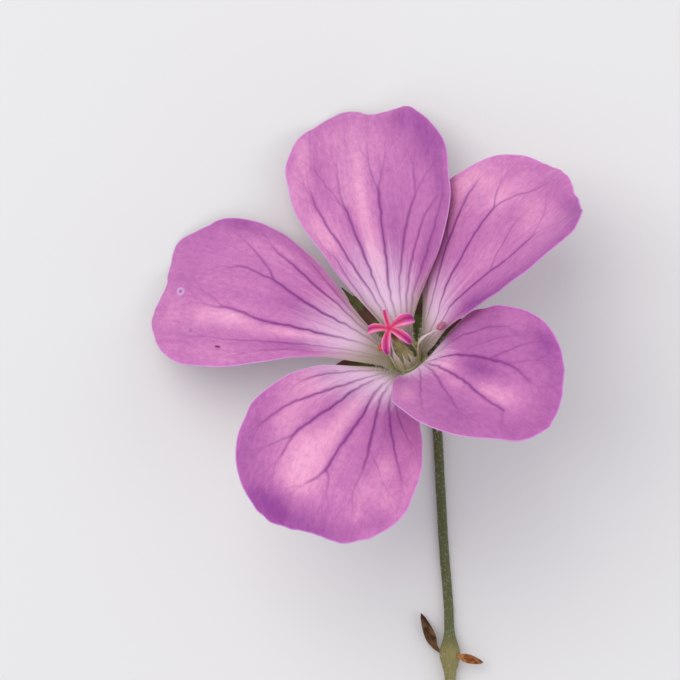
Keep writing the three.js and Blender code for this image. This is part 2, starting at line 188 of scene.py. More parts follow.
def bladeMesh(front, back):
    # the front face and every other row and column of the back face, sewn together round the rim
    back = back[::2, ::2]
    rows, columns = front.shape[0] - 1, front.shape[1] - 1
    start = front.shape[0] * front.shape[1]
    faces = [gridTriangles(rows, columns), gridTriangles(rows // 2, columns // 2, start, faceDown=True)]
    fine = rimOrder(rows, columns)
    coarse = rimOrder(rows // 2, columns // 2) + start
    f0, f1, f2 = fine[0::2], fine[1::2], np.roll(fine, -2)[0::2]
    b0, b1 = coarse, np.roll(coarse, -1)
    faces += [np.stack(three, -1) for three in ((f0, f1, b0), (f1, f2, b1), (f1, b1, b0))]
    points = np.concatenate([front.reshape(-1, 3), back.reshape(-1, 3)])
    return points, np.concatenate(faces)


def rimOrder(rows, columns):
    # the border of a grid: along the first row, up the last column, back and down again
    width = columns + 1
    return np.concatenate([
        np.arange(columns),
        np.arange(rows) * width + columns,
        rows * width + np.arange(columns, 0, -1),
        np.arange(rows, 0, -1) * width,
    ])


def bothFaces(field):
    # a value of the front grid, repeated on the coarser back grid
    return np.concatenate([field.ravel(), field[::2, ::2].ravel()])


def onBack(field):
    # 0 on the front grid and 1 on the back
    return np.concatenate([np.zeros(field.size), np.ones(field[::2, ::2].size)])


def smoothCurve(points, count):
    # a centripetal Catmull-Rom curve through the points, sampled at even lengths
    points = np.asarray(points, float)
    ends = 2 * points[[0, -1]] - points[[1, -2]]
    p = np.concatenate([ends[:1], points, ends[1:]])
    gap = np.linalg.norm(np.diff(p, axis=0), axis=1)[:, None] ** 0.5
    p0, p1, p2, p3 = p[:-3], p[1:-2], p[2:-1], p[3:]
    g0, g1, g2 = gap[:-2], gap[1:-1], gap[2:]
    leave = ((p1 - p0) / g0 - (p2 - p0) / (g0 + g1) + (p2 - p1) / g1) * g1
    arrive = ((p2 - p1) / g1 - (p3 - p1) / (g1 + g2) + (p3 - p2) / g2) * g1
    perSpan = 60  # points worked out between one given point and the next
    s = np.linspace(0, 1, perSpan, endpoint=False)[None, :, None]
    leave, arrive, p1, p2 = leave[:, None], arrive[:, None], p1[:, None], p2[:, None]
    curve = p1 + leave * s + (3 * (p2 - p1) - 2 * leave - arrive) * s ** 2
    curve += (2 * (p1 - p2) + leave + arrive) * s ** 3
    return evenly(np.concatenate([curve.reshape(-1, 3), points[-1:]]), count)


def runAlong(curve):
    return np.concatenate([[0], np.cumsum(np.linalg.norm(np.diff(curve, axis=0), axis=1))])


def pointsAt(curve, run, places):
    # the points of a curve at those lengths along it
    return np.stack([np.interp(places, run, values) for values in curve.T], -1)


def evenly(curve, count):
    run = runAlong(curve)
    return pointsAt(curve, run, np.linspace(0, run[-1], count))


def sweepFrame(curve, reference):
    # tangent, side and other: the side is the reference made square to the tangent
    tangent = unit(np.gradient(curve, axis=0))
    side = unit(reference - (tangent @ reference)[:, None] * tangent)
    return tangent, side, np.cross(tangent, side)


def tubeMesh(curve, sideways, outwards, reference):
    # rings of points at (sideways, outwards) in the frame of the curve, with a hub that closes each end
    _, side, other = sweepFrame(curve, np.asarray(reference, float))
    rings = curve[:, None] + side[:, None] * sideways[..., None] + other[:, None] * outwards[..., None]
    points = np.concatenate([rings.reshape(-1, 3), rings[:1].mean(1), rings[-1:].mean(1)])
    return points, cappedRings(*sideways.shape)


def joined(parts):
    # several point and triangle sets as one
    starts = np.cumsum([0] + [len(points) for points, _ in parts[:-1]])
    points = np.concatenate([points for points, _ in parts])
    return points, np.concatenate([faces + start for (_, faces), start in zip(parts, starts)])


def hairMesh(roots, directions, lengths, radius, droop):
    # three-sided cones of two joints that bend over towards droop
    lengths = lengths[:, None]
    directions = unit(directions)
    reference = np.where(np.abs(directions[:, 2:]) < 0.9, [[0.0, 0.0, 1.0]], [[1.0, 0.0, 0.0]])
    side = unit(np.cross(directions, reference))
    other = np.cross(directions, side)
    middle = roots + directions * lengths * 0.55 + droop * lengths * 0.1
    tip = roots + directions * lengths * 0.9 + droop * lengths * 0.42
    angle = fullTurn(3)
    spread = side[:, None] * np.cos(angle)[:, None] + other[:, None] * np.sin(angle)[:, None]
    low = roots[:, None] + spread * radius
    high = middle[:, None] + spread * radius * 0.7
    points = np.concatenate([low, high, tip[:, None]], 1)
    one = [(0, 1, 4), (0, 4, 3), (1, 2, 5), (1, 5, 4), (2, 0, 3), (2, 3, 5)]
    one += [(3, 4, 6), (4, 5, 6), (5, 3, 6), (0, 2, 1)]
    faces = np.array(one)[None] + (np.arange(len(roots)) * 7)[:, None, None]
    return points.reshape(-1, 3), faces.reshape(-1, 3)


def hairColumns(face, row, rimShare, rng):
    # for each hair's row: whether it stands on the rim, its column, and the way out over that side's rim
    columns = face.shape[1]
    onRim = rng.uniform(0, 1, row.size) < rimShare
    column = np.where(onRim, rng.choice([0, columns - 1], row.size), rng.integers(0, columns, row.size))
    sideways = unit(face[row, -1] - face[row, 0])
    return onRim[:, None], column, sideways * np.where(column < columns / 2, -1, 1)[:, None]


def addPiece(name, shape, material, nodes=(), fields=None, maps=None):
    # fields are a number at each point, maps are pairs at each point that become UV maps
    points, faces = shape
    mesh = bpy.data.meshes.new(name)
    mesh.from_pydata((points * mm).astype(np.float32), [], faces.astype(np.int32))
    for title, values in (fields or {}).items():
        layer = mesh.attributes.new(title, "FLOAT", "POINT")
        layer.data.foreach_set("value", values.astype(np.float32).ravel())
    for title, values in (maps or {}).items():
        layer = mesh.uv_layers.new(name=title)
        layer.data.foreach_set("uv", values[faces.ravel()].astype(np.float32).ravel())
    mesh.shade_smooth()
    mesh.materials.append(material)
    piece = bpy.data.objects.new(name, mesh)
    bpy.context.scene.collection.objects.link(piece)
    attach(piece, "root")
    if nodes:
        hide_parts(*nodes)
    print("piece", name, len(faces), "triangles")


# materials

def rgb(red, green, blue):
    # sRGB from 0 to 255 as the linear colour that a shader takes
    share = np.array([red, green, blue]) / 255
    linear = np.where(share <= 0.04045, share / 12.92, ((share + 0.055) / 1.055) ** 2.4)
    return (*linear.tolist(), 1.0)


class Wire:
    # an output of a node that can be used in sums: a + b, 1 - mask, mask * 0.4, a.larger(b)
    def __init__(self, shader, socket):
        self.shader = shader
        self.socket = socket

    def maths(self, operation, first, second):
        return self.shader.node("ShaderNodeMath", {"operation": operation}, {0: first, 1: second})

    def __add__(self, other):
        return self.maths("ADD", self, other)

    def __sub__(self, other):
        return self.maths("SUBTRACT", self, other)

    def __rsub__(self, other):
        return self.maths("SUBTRACT", other, self)

    def __mul__(self, other):
        return self.maths("MULTIPLY", self, other)

    def larger(self, other):
        return self.maths("MAXIMUM", self, other)

    __radd__ = __add__
    __rmul__ = __mul__


class Shader:
    def __init__(self, name):
        self.material = bpy.data.materials.new(name)
        self.material.use_nodes = True
        self.tree = self.material.node_tree
        self.tree.nodes.clear()

    def node(self, kind, settings=None, inputs=None, output=0):
        # inputs are numbers, colours or wires by socket; output says which socket is used
        made = self.tree.nodes.new(kind)
        for key, value in (settings or {}).items():
            if key == "stops":
                self.setStops(made.color_ramp, value)
            else:
                setattr(made, key, value)
        for key, value in (inputs or {}).items():
            if isinstance(value, Wire):
                self.tree.links.new(value.socket, made.inputs[key])
            else:
                made.inputs[key].default_value = value
        return Wire(self, made.outputs[output])

    def setStops(self, ramp, stops):
        while len(ramp.elements) < len(stops):
            ramp.elements.new(0.5)
        for element, (place, colour) in zip(ramp.elements, stops):
            element.position = place
            element.color = colour

    def field(self, name):
        return self.node("ShaderNodeAttribute", {"attribute_name": name}, output=2)

    def map(self, name):
        return self.node("ShaderNodeUVMap", {"uv_map": name})

    def place(self):
        # Object coordinates, in metres
        return self.node("ShaderNodeTexCoord", output=3)

    def parts(self, vector):
        made = self.node("ShaderNodeSeparateXYZ", None, {0: vector}).socket.node
        return [Wire(self, socket) for socket in made.outputs]

    def vector(self, x, y, z=0.0):
        return self.node("ShaderNodeCombineXYZ", None, {0: x, 1: y, 2: z})

    def ramp(self, value, low, high, atLow=0.0, atHigh=1.0):
        inputs = {0: value, 1: low, 2: high, 3: atLow, 4: atHigh}
        return self.node("ShaderNodeMapRange", {"interpolation_type": "SMOOTHSTEP"}, inputs)

    def noise(self, vector, scale, detail=2.0, roughness=0.5):
        return self.node("ShaderNodeTexNoise", None, {
            "Vector": vector, "Scale": scale, "Detail": detail, "Roughness": roughness,
        })

    def cells(self, vector, scale, feature):
        return self.node("ShaderNodeTexVoronoi", {"feature": feature}, {"Vector": vector, "Scale": scale})

    def mix(self, share, first, second):
        return self.node("ShaderNodeMix", {"data_type": "RGBA"}, {0: share, 6: first, 7: second}, output=2)

    def bump(self, height, distance, strength=1.0):
        return self.node("ShaderNodeBump", None, {
            "Height": height, "Distance": distance * mm, "Strength": strength,
        })

    def finish(self, colour, roughness, normal, constants):
        # constants are the Principled shader's own sockets that stay the same all over
        inputs = {"Base Color": colour, "Roughness": roughness, "Normal": normal, **constants}
        surface = self.node("ShaderNodeBsdfPrincipled", None, inputs)
        end = self.tree.nodes.new("ShaderNodeOutputMaterial")
        self.tree.links.new(surface.socket, end.inputs["Surface"])
        return self.material


def letsLightIn(weight, reach, depth):
    # how much light passes below the surface, how far each of red, green and blue goes, and how deep in mm
    return {"Subsurface Weight": weight, "Subsurface Radius": reach, "Subsurface Scale": depth * mm}


# petals

petalLooks = {
    "footRadius": 1.85, "footShare": -0.05,  # the claw goes on into the receptacle
    "columns": 220, "rows": 220,
    # hairs on each claw: how many, how far up they grow, and the share that stands on its margins
    "beard": 90, "beardTop": 0.13, "beardOnRim": 0.4, "beardSpread": 0.28,
    "hairRadius": 0.012, "hairLength": (0.22, 0.5),
    "thickness": 0.2, "clawThickness": 0.36, "clawFade": 0.12, "rimThickness": 0.07, "rimTaper": 0.8,
    "ripple": ((17, 0.035), (29, 0.02), (47, 0.012)), "sideRipple": (27, 0.05),  # waves, height
    "ruffle": 0.28, "quilt": 0.085, "quiltWidth": 0.75,
    "crinkles": ((0.05, 0.9, 1.9), (0.025, 0.42, 0.8)),  # height, breadth and length
    "ruffleWaves": 2.6, "hem": 1.3, "hemWave": 0.1,  # how far in the margin waves, and how high
    "veinGroove": 0.035, "veinRidge": 0.05, "veinWidth": 0.135, "veinFade": 0.75,
    "wander": 0.07, "wanderEvery": 0.6,  # how far the veins stray, over what length
    "tipForkAngle": (9, 17), "tipForkLength": 1.3,
    "forkBend": 8, "forkAngle": (13, 25), "forkShrink": (0.68, 0.88),
    "twigAngle": (24, 42), "twigLength": (0.9, 1.7), "twigEvery": (1.0, 2.0),
    # width, strength of the last ones, how much stronger the one before is, and how each fades
    "fork": (0.09, 0.16, 0.09, (1, 0.8, 0.6)), "twig": (0.075, 0.13, 0.09, (1, 0.8, 0.5)),
    "toneRange": 2.2,  # the tones that lie between full pink and full purple
    "clawClimb": 0.7,  # the claw's green climbs higher along its margins
    "mapStep": 30,  # keeps the pattern of one petal apart from the next one's
    # pink and purple are the petal's own colours and also painted highlight and painted shade
    "pink": rgb(240, 171, 204), "mauve": rgb(195, 117, 176), "purple": rgb(149, 67, 147),
    # claw is the claw's green white darkened as painted shade of the deep throat
    "vein": rgb(126, 30, 126), "throat": rgb(247, 224, 241), "claw": rgb(164, 154, 126),
    "rim": rgb(220, 178, 232), "underside": rgb(214, 160, 200), "fleck": rgb(140, 8, 78),
    "scar": rgb(206, 190, 228), "scarMiddle": rgb(120, 84, 140),
}

# tones are partly the petal's own pink and purple, partly painted shade and painted highlight
# across runs from -1 to 1 and along from 0 to 1
# lobes: place across, reach in mm, breadth
# turns of a side margin: side, place along, breadth, reach and lift in mm
# tones: place across, place along, breadth across, breadth along, how far towards purple, or pink below 0
# flush on the margin: place across, breadth, depth in mm, how far towards purple
# throat: how far along it is pale, how much further on the 1 side, how much less far at both margins;
# it is kept short where a neighbouring petal's shade is painted
# clawAndShadeReach: how far along the claw is green, carrying painted shade of the deep throat
# fleck: place across, place along, half length and half width in mm
# scars: place across, place along, radius in mm, how clear
# veins: strength at foot, middle and tip, and the points that they pass
petals = {
    "petal_top": {
        "azimuth": 100, "length": 22.7, "halfWidth": 7.55, "claw": 0.95, "widestAt": 0.66, "skew": 0.1,
        "roundness": 2.25, "flare": 1.54, "flareSkew": -0.22, "rise": (59, -12.5), "fade": 0.8,
        "cup": 14, "roll": -10, "twist": 12, "drift": -0.02,
        "lobes": [
            (-0.85, 0.27, 0.15), (-0.51, 0.18, 0.16), (-0.36, -0.26, 0.15), (-0.09, -0.45, 0.18),
            (0.1, -0.05, 0.15), (0.42, -0.18, 0.16), (0.44, 0.53, 0.27),
        ],
        "turns": [
            (-1, 0.72, 0.1, 0.46, 0), (1, 0.85, 0.055, -0.26, 0), (1, 0.63, 0.05, 0.14, 0),
            (1, 0.41, 0.1, -0.2, 0),
        ],
        "tonesAndPaintedLight": [
            (-0.72, 0.8, 0.2, 0.13, 0.75), (-0.45, 0.91, 0.2, 0.07, 0.65), (-0.86, 0.61, 0.12, 0.16, 0.4),
            (0.12, 0.62, 0.1, 0.22, -0.8), (0.12, 0.33, 0.16, 0.14, -0.7), (0.79, 0.82, 0.1, 0.1, -0.6),
            (0.76, 0.48, 0.2, 0.09, -0.9), (0.32, 0.68, 0.11, 0.15, -0.35), (0.64, 0.77, 0.07, 0.08, 0.2),
            (-0.83, 0.32, 0.15, 0.12, 0.6), (0.37, 0.51, 0.06, 0.09, 0.25), (-0.27, 0.43, 0.14, 0.16, 0.45),
            (-0.08, 0.83, 0.2, 0.08, -0.3), (0.42, 0.87, 0.2, 0.07, -0.25), (0.85, 0.2, 0.18, 0.08, 0.9),
            (-1, 0.26, 0.12, 0.06, -0.4), (0.93, 0.67, 0.1, 0.09, -0.5),
        ],
        "flush": [(-1, 0.35, 1.6, 0.3)],
        "throat": (0.5, 0.25, 0.5), "clawAndShadeReach": 0.14,
        "veins": [
            (0.35, 1.0, 0.8, [
                (0.03, 0.02), (0.04, 0.2), (-0.05, 0.3), (-0.07, 0.42), (-0.09, 0.53), (-0.09, 0.62),
            ]),
            (0.7, 0.4, 0.1, [(-0.09, 0.62), (-0.04, 0.68), (-0.01, 0.76)]),
            (0.7, 0.4, 0.1, [(-0.09, 0.62), (-0.14, 0.67), (-0.22, 0.75)]),
            (0.5, 0.8, 0.45, [
                (0.41, 0.02), (0.54, 0.18), (0.54, 0.27), (0.6, 0.36), (0.63, 0.45), (0.68, 0.53),
                (0.71, 0.6), (0.73, 0.65),
            ]),
            (0.3, 0.9, 0.7, [
                (0.23, 0.02), (0.31, 0.24), (0.3, 0.34), (0.31, 0.43), (0.33, 0.51), (0.36, 0.58),
            ]),
            (0.6, 0.4, 0.12, [(0.36, 0.58), (0.38, 0.65), (0.38, 0.75)]),
            (0.5, 0.35, 0.1, [(0.36, 0.58), (0.48, 0.65), (0.64, 0.75)]),
            (0.75, 0.5, 0.25, [(0.67, 0.02), (0.89, 0.24), (0.84, 0.33), (0.83, 0.39)]),
            (0.3, 0.75, 0.55, [
                (-0.2, 0.02), (-0.27, 0.22), (-0.35, 0.32), (-0.38, 0.41), (-0.44, 0.48),
                (-0.54, 0.56),
            ]),
            (0.5, 0.4, 0.1, [(-0.54, 0.56), (-0.56, 0.61), (-0.56, 0.68)]),
            (0.5, 0.4, 0.1, [(-0.54, 0.56), (-0.63, 0.6), (-0.77, 0.65)]),
            (0.85, 0.65, 0.3, [
                (-0.38, 0.02), (-0.5, 0.22), (-0.55, 0.31), (-0.59, 0.39), (-0.66, 0.47),
                (-0.82, 0.53),
            ]),
            (0.9, 0.5, 0.2, [
                (-0.53, 0.02), (-0.71, 0.21), (-0.79, 0.29), (-0.81, 0.37), (-0.85, 0.46),
                (-0.9, 0.53),
            ]),
            (0.8, 0.45, 0.1, [(-0.7, 0.02), (-0.93, 0.19), (-1, 0.26), (-1, 0.34)]),
        ],
    },
    "petal_upper_right": {
        "azimuth": 35.5, "length": 21.6, "halfWidth": 8.8, "claw": 0.9, "widestAt": 0.7, "skew": -0.18,
        "roundness": 2.15, "flare": 1.58, "flareSkew": -0.06, "rise": (59.5, 3), "fade": 0.84,
        "cup": 22, "roll": -18, "twist": -2.5, "drift": 0,
        "lobes": [
            (-0.81, 0.2, 0.13), (-0.78, 0.17, 0.1), (-0.65, 0.25, 0.15), (-0.4, 0.13, 0.07),
            (-0.28, 0.08, 0.19), (-0.3, -0.1, 0.06), (0, 0.35, 0.21), (0.62, -0.12, 0.14),
        ],
        "turns": [(-1, 0.1, 0.09, 0.52, 0), (-1, 0.7, 0.06, 0.34, 0)],
        "tonesAndPaintedLight": [
            (0.68, 0.72, 0.17, 0.09, -0.5), (0.38, 0.73, 0.14, 0.09, -0.75), (-0.11, 0.82, 0.33, 0.07, -0.4),
            (-0.57, 0.95, 0.5, 0.04, 0.5), (-0.96, 0.84, 0.2, 0.1, 0.2), (-0.92, 0.58, 0.25, 0.14, 0.35),
            (-0.85, 0.4, 0.3, 0.1, 0.8), (-0.1, 0.52, 0.16, 0.12, -0.25), (0.42, 0.86, 0.18, 0.06, -0.15),
            (0.6, 0.53, 0.1, 0.1, -0.2), (0.84, 0.64, 0.14, 0.12, -0.65),
        ],
        "flush": [(-1, 0.4, 1.7, 0.4), (-0.5, 0.25, 1.4, 0.35)],
        "throat": (0.46, 0.05, 0.5), "clawAndShadeReach": 0.16,
        "veins": [
            (0.6, 0.9, 0.3, [
                (0.35, 0.02), (0.47, 0.21), (0.54, 0.31), (0.56, 0.41), (0.57, 0.48), (0.64, 0.57),
                (0.7, 0.63), (0.73, 0.69),
            ]),
            (0.5, 0.4, 0.1, [(0.57, 0.43), (0.68, 0.47), (0.85, 0.54)]),
            (0.6, 1.0, 0.85, [
                (-0.17, 0.02), (-0.22, 0.17), (0.16, 0.26), (0.24, 0.36), (0.24, 0.46), (0.28, 0.54),
                (0.32, 0.62), (0.34, 0.69),
            ]),
            (0.75, 0.5, 0.15, [(0.34, 0.69), (0.44, 0.72), (0.51, 0.77)]),
            (0.7, 0.5, 0.15, [(0.34, 0.69), (0.31, 0.75), (0.26, 0.81), (0.13, 0.86), (0.09, 0.91)]),
            (0.6, 0.95, 0.45, [
                (-0.42, 0.02), (-0.56, 0.2), (-0.28, 0.29), (-0.34, 0.38), (-0.37, 0.47),
                (-0.4, 0.56), (-0.43, 0.65), (-0.44, 0.73), (-0.41, 0.77),
            ]),
            (0.4, 0.3, 0.08, [(-0.41, 0.77), (-0.33, 0.81), (-0.23, 0.86)]),
            (0.35, 0.25, 0.08, [(-0.41, 0.77), (-0.46, 0.82), (-0.56, 0.86)]),
            (0.5, 0.45, 0.15, [(-0.39, 0.54), (-0.22, 0.59), (-0.16, 0.65), (-0.07, 0.72), (-0.05, 0.77)]),
            (0.85, 0.6, 0.2, [(0.55, 0.02), (0.73, 0.17), (0.8, 0.22), (0.87, 0.25)]),
            (0.25, 0.35, 0.1, [(-0.67, 0.02), (-0.89, 0.23), (-0.78, 0.34), (-0.86, 0.45), (-0.96, 0.55)]),
        ],
    },
    "petal_right": {
        "azimuth": 323.5, "length": 23, "halfWidth": 7.35, "claw": 0.75, "widestAt": 0.67, "skew": 0.04,
        "roundness": 1.75, "flare": 0.76, "flareSkew": -0.2, "rise": (69.5, -4.5), "fade": 0.86,
        "cup": 30, "roll": -9.5, "twist": 5.5, "drift": -0.02,
        "lobes": [
            (-0.92, 0.12, 0.08), (-0.68, -0.79, 0.19), (-0.54, -0.27, 0.14), (-0.27, 0.26, 0.24),
            (0.26, -0.06, 0.19),
        ],
        "turns": [
            (-1, 0.14, 0.08, -0.2, 0.5), (-1, 0.3, 0.08, -0.25, 0), (1, 0.06, 0.08, 0, 0.2),
            (1, 0.39, 0.06, -0.3, 0),
        ],
        "tonesAndPaintedLight": [
            (0, 0.6, 1.2, 0.6, 0.25), (0.7, 0.27, 0.35, 0.13, 0.3), (0.43, 0.48, 0.2, 0.16, 0.25),
            (0.83, 0.6, 0.12, 0.08, -0.45), (0.1, 0.57, 0.12, 0.12, 0.8), (-0.08, 0.72, 0.17, 0.09, -0.85),
            (0.02, 0.82, 0.22, 0.07, -0.4), (-0.35, 0.94, 0.17, 0.12, 0.35), (-0.81, 0.73, 0.14, 0.12, 0.15),
            (-0.77, 0.41, 0.14, 0.08, -0.4), (-0.7, 0.2, 0.3, 0.08, 0.5), (-0.56, 0.66, 0.18, 0.14, 0.3),
            (-0.17, 0.54, 0.08, 0.07, -0.3), (0.76, 0.8, 0.2, 0.1, 0.3), (-0.06, 0.38, 0.17, 0.11, -1.0),
            (0.4, 0.19, 0.22, 0.07, 0.9), (0.17, 0.34, 0.08, 0.05, -0.4), (-0.22, 0.55, 0.1, 0.08, -0.35),
        ],
        "flush": [(0.5, 0.6, 2.4, 0.5)],
        "throat": (0.46, -0.2, 1.5), "clawAndShadeReach": 0.08,
        "veins": [
            (0.3, 1.0, 0.3, [
                (-0.02, 0.02), (-0.03, 0.1), (-0.03, 0.21), (0.13, 0.32), (0.21, 0.42), (0.25, 0.52),
                (0.27, 0.6), (0.33, 0.68), (0.33, 0.74), (0.28, 0.81),
            ]),
            (0.6, 0.5, 0.15, [(0.28, 0.59), (0.41, 0.63), (0.56, 0.68), (0.69, 0.73)]),
            (0.35, 1.0, 0.6, [
                (-0.06, 0.02), (-0.07, 0.1), (-0.08, 0.28), (-0.1, 0.42), (-0.12, 0.52),
                (-0.13, 0.6), (-0.18, 0.65), (-0.2, 0.74), (-0.2, 0.82),
            ]),
            (0.5, 0.3, 0.1, [(-0.2, 0.82), (-0.28, 0.84)]),
            (0.35, 0.65, 0.2, [
                (-0.11, 0.02), (-0.12, 0.1), (-0.14, 0.26), (-0.25, 0.41), (-0.34, 0.5),
                (-0.41, 0.59), (-0.52, 0.67),
            ]),
            (0.25, 0.55, 0.15, [
                (-0.22, 0.02), (-0.25, 0.1), (-0.29, 0.23), (-0.43, 0.34), (-0.58, 0.44),
                (-0.76, 0.55),
            ]),
            (0.6, 0.6, 0.2, [
                (0.17, 0.02), (0.22, 0.18), (0.37, 0.24), (0.54, 0.3), (0.58, 0.39), (0.66, 0.45),
                (0.73, 0.57),
            ]),
            (0.2, 0.35, 0.1, [(0.33, 0.44), (0.47, 0.51), (0.66, 0.63)]),
            (0.3, 0.3, 0.08, [(0.33, 0.68), (0.43, 0.74), (0.53, 0.79)]),
        ],
    },
    "petal_bottom": {
        "azimuth": 251, "length": 22.5, "halfWidth": 8.25, "claw": 0.75, "widestAt": 0.68, "skew": 0.02,
        "roundness": 2.25, "flare": 0.96, "flareSkew": -0.06, "rise": (57.5, -2), "fade": 0.8,
        "cup": 7.5, "roll": -20, "twist": 2.5, "drift": 0.045,
        "lobes": [
            (-0.88, 0.14, 0.08), (-0.69, 0.17, 0.12), (-0.49, 0.42, 0.09), (-0.33, 0.46, 0.11),
            (-0.08, 0.18, 0.1), (0.07, -0.27, 0.18), (0.45, 0.29, 0.18), (0.74, 0.1, 0.06),
            (0.79, -0.11, 0.14),
        ],
        "turns": [
            (-1, 0.17, 0.09, -0.4, 0), (-1, 0.34, 0.05, -0.12, 0), (-1, 0.5, 0.05, -0.12, 0),
            (-1, 0.62, 0.04, 0.14, 0), (1, 0.3, 0.05, -0.15, 0),
        ],
        "tonesAndPaintedLight": [
            (-0.22, 0.7, 0.24, 0.13, -1.15), (-0.1, 0.53, 0.11, 0.1, -0.6), (-0.75, 0.43, 0.3, 0.14, -0.9),
            (-0.62, 0.59, 0.13, 0.09, -0.45), (-0.07, 0.39, 0.1, 0.1, -0.6), (-0.4, 0.94, 0.3, 0.05, 0.45),
            (0.46, 0.37, 0.17, 0.15, 0.5), (0.6, 0.26, 0.3, 0.1, 0.3), (0.61, 0.59, 0.1, 0.08, -0.6),
            (0.66, 0.73, 0.26, 0.07, -0.45), (0.91, 0.57, 0.1, 0.12, -0.3), (0.76, 0.85, 0.14, 0.05, 0.3),
            (0.5, 0.84, 0.16, 0.05, -0.3), (-0.18, 0.82, 0.25, 0.06, -0.5), (-0.8, 0.27, 0.2, 0.08, 0.6),
        ],
        "flush": [(-0.4, 0.45, 2.6, 0.85), (0.25, 0.35, 1.7, 0.75), (-0.95, 0.3, 1.5, 0.3)],
        "throat": (0.45, -0.42, 0.5), "clawAndShadeReach": 0.12,
        "veins": [
            (0.6, 0.65, 0.3, [(-0.49, 0.02), (-0.65, 0.13), (-0.71, 0.22), (-0.77, 0.31), (-0.82, 0.39)]),
            (0.5, 0.85, 0.3, [
                (-0.29, 0.02), (-0.39, 0.16), (-0.41, 0.26), (-0.48, 0.36), (-0.59, 0.45),
                (-0.68, 0.52), (-0.74, 0.59), (-0.81, 0.67),
            ]),
            (0.3, 1.0, 0.85, [
                (-0.18, 0.02), (-0.24, 0.19), (-0.26, 0.3), (-0.27, 0.42), (-0.35, 0.52),
                (-0.41, 0.59), (-0.45, 0.65),
            ]),
            (0.6, 0.45, 0.12, [(-0.45, 0.65), (-0.55, 0.69), (-0.66, 0.74)]),
            (0.75, 0.5, 0.15, [(-0.45, 0.65), (-0.46, 0.71), (-0.49, 0.78)]),
            (0.3, 1.0, 0.85, [
                (0.01, 0.02), (0.01, 0.21), (0.07, 0.32), (0.1, 0.43), (0.07, 0.52), (0.05, 0.61),
                (0.02, 0.72),
            ]),
            (0.8, 0.6, 0.1, [(0.02, 0.72), (-0.04, 0.77), (-0.15, 0.82)]),
            (0.55, 0.4, 0.1, [(0.02, 0.71), (0.1, 0.76), (0.13, 0.81)]),
            (0.25, 0.85, 0.5, [
                (0.11, 0.02), (0.15, 0.23), (0.27, 0.37), (0.33, 0.49), (0.36, 0.57), (0.38, 0.64),
            ]),
            (0.5, 0.35, 0.08, [(0.38, 0.64), (0.38, 0.7), (0.4, 0.79)]),
            (0.3, 0.25, 0.08, [(0.35, 0.54), (0.51, 0.6), (0.62, 0.66)]),
            (0.25, 0.75, 0.2, [
                (0.25, 0.02), (0.33, 0.24), (0.47, 0.35), (0.59, 0.45), (0.69, 0.53), (0.81, 0.61),
            ]),
            (0.25, 0.5, 0.15, [(0.34, 0.02), (0.45, 0.23), (0.65, 0.34), (0.81, 0.41)]),
        ],
    },
    "petal_upper_left": {
        "azimuth": 167.5, "length": 22.9, "halfWidth": 7.8, "claw": 1.15, "widestAt": 0.72, "skew": 0.06,
        "roundness": 2.25, "flare": 1.58, "flareSkew": 0.22, "rise": (56.5, -18), "fade": 0.78,
        "cup": 3.5, "roll": 16, "twist": -19, "drift": -0.075,
        "lobes": [
            (-0.75, -0.72, 0.16), (-0.5, 0.2, 0.19), (-0.39, 0.12, 0.08), (-0.24, 0.16, 0.14),
            (0.08, -0.56, 0.18), (0.51, 0.95, 0.19), (0.76, 0.2, 0.14),
        ],
        "turns": [
            (1, 0.13, 0.12, 0.52, 0), (-1, 0.17, 0.13, -0.34, 0), (-1, 0.42, 0.12, -0.18, 0),
            (-1, 0.6, 0.05, -0.14, 0), (1, 0.385, 0.05, -0.2, 0), (1, 0.85, 0.05, -0.2, 0),
        ],
        "tonesAndPaintedLight": [
            (0.27, 0.66, 0.12, 0.1, -0.9), (0.38, 0.4, 0.12, 0.17, -0.75), (-0.92, 0.73, 0.12, 0.08, 0.5),
            (-0.63, 0.82, 0.22, 0.07, 0.15), (-0.7, 0.62, 0.12, 0.08, -0.25), (-0.21, 0.91, 0.23, 0.07, 0.2),
            (0.35, 0.9, 0.23, 0.05, -0.25), (-0.16, 0.43, 0.12, 0.08, 0.45), (-0.75, 0.49, 0.13, 0.08, -0.35),
            (-0.62, 0.29, 0.15, 0.07, -0.3), (0.57, 0.55, 0.13, 0.11, 0.15), (0.78, 0.64, 0.15, 0.1, -0.25),
            (0.62, 0.37, 0.14, 0.1, 0.45), (0.35, 0.77, 0.12, 0.06, -0.4),
        ],
        "flush": [(-0.9, 0.4, 1.6, 0.35)],
        "throat": (0.47, 0.1, 0.5), "clawAndShadeReach": 0.155,
        "fleck": (0.71, 0.66, 0.3, 0.13), "scars": ((0.1, 0.895, 0.42, 1), (0.55, 0.8, 0.55, 0.4)),
        "veins": [
            (0.35, 1.0, 0.6, [
                (0.08, 0.02), (0.1, 0.12), (0.2, 0.22), (0.23, 0.3), (0.23, 0.39), (0.24, 0.47),
                (0.22, 0.55), (0.17, 0.63), (0.17, 0.7),
            ]),
            (0.6, 0.4, 0.1, [(0.17, 0.7), (0.2, 0.73), (0.18, 0.77)]),
            (0.4, 0.3, 0.08, [(0.17, 0.7), (0.08, 0.75), (0.03, 0.8)]),
            (0.55, 1.0, 0.8, [
                (-0.25, 0.02), (-0.33, 0.13), (-0.31, 0.22), (-0.26, 0.31), (-0.29, 0.4),
                (-0.33, 0.47), (-0.39, 0.54),
            ]),
            (0.8, 0.6, 0.15, [(-0.39, 0.54), (-0.38, 0.6), (-0.41, 0.67), (-0.35, 0.72)]),
            (0.7, 0.55, 0.15, [(-0.38, 0.53), (-0.53, 0.58), (-0.64, 0.65), (-0.74, 0.71)]),
            (0.7, 0.8, 0.25, [
                (-0.46, 0.02), (-0.62, 0.16), (-0.67, 0.25), (-0.64, 0.34), (-0.68, 0.43),
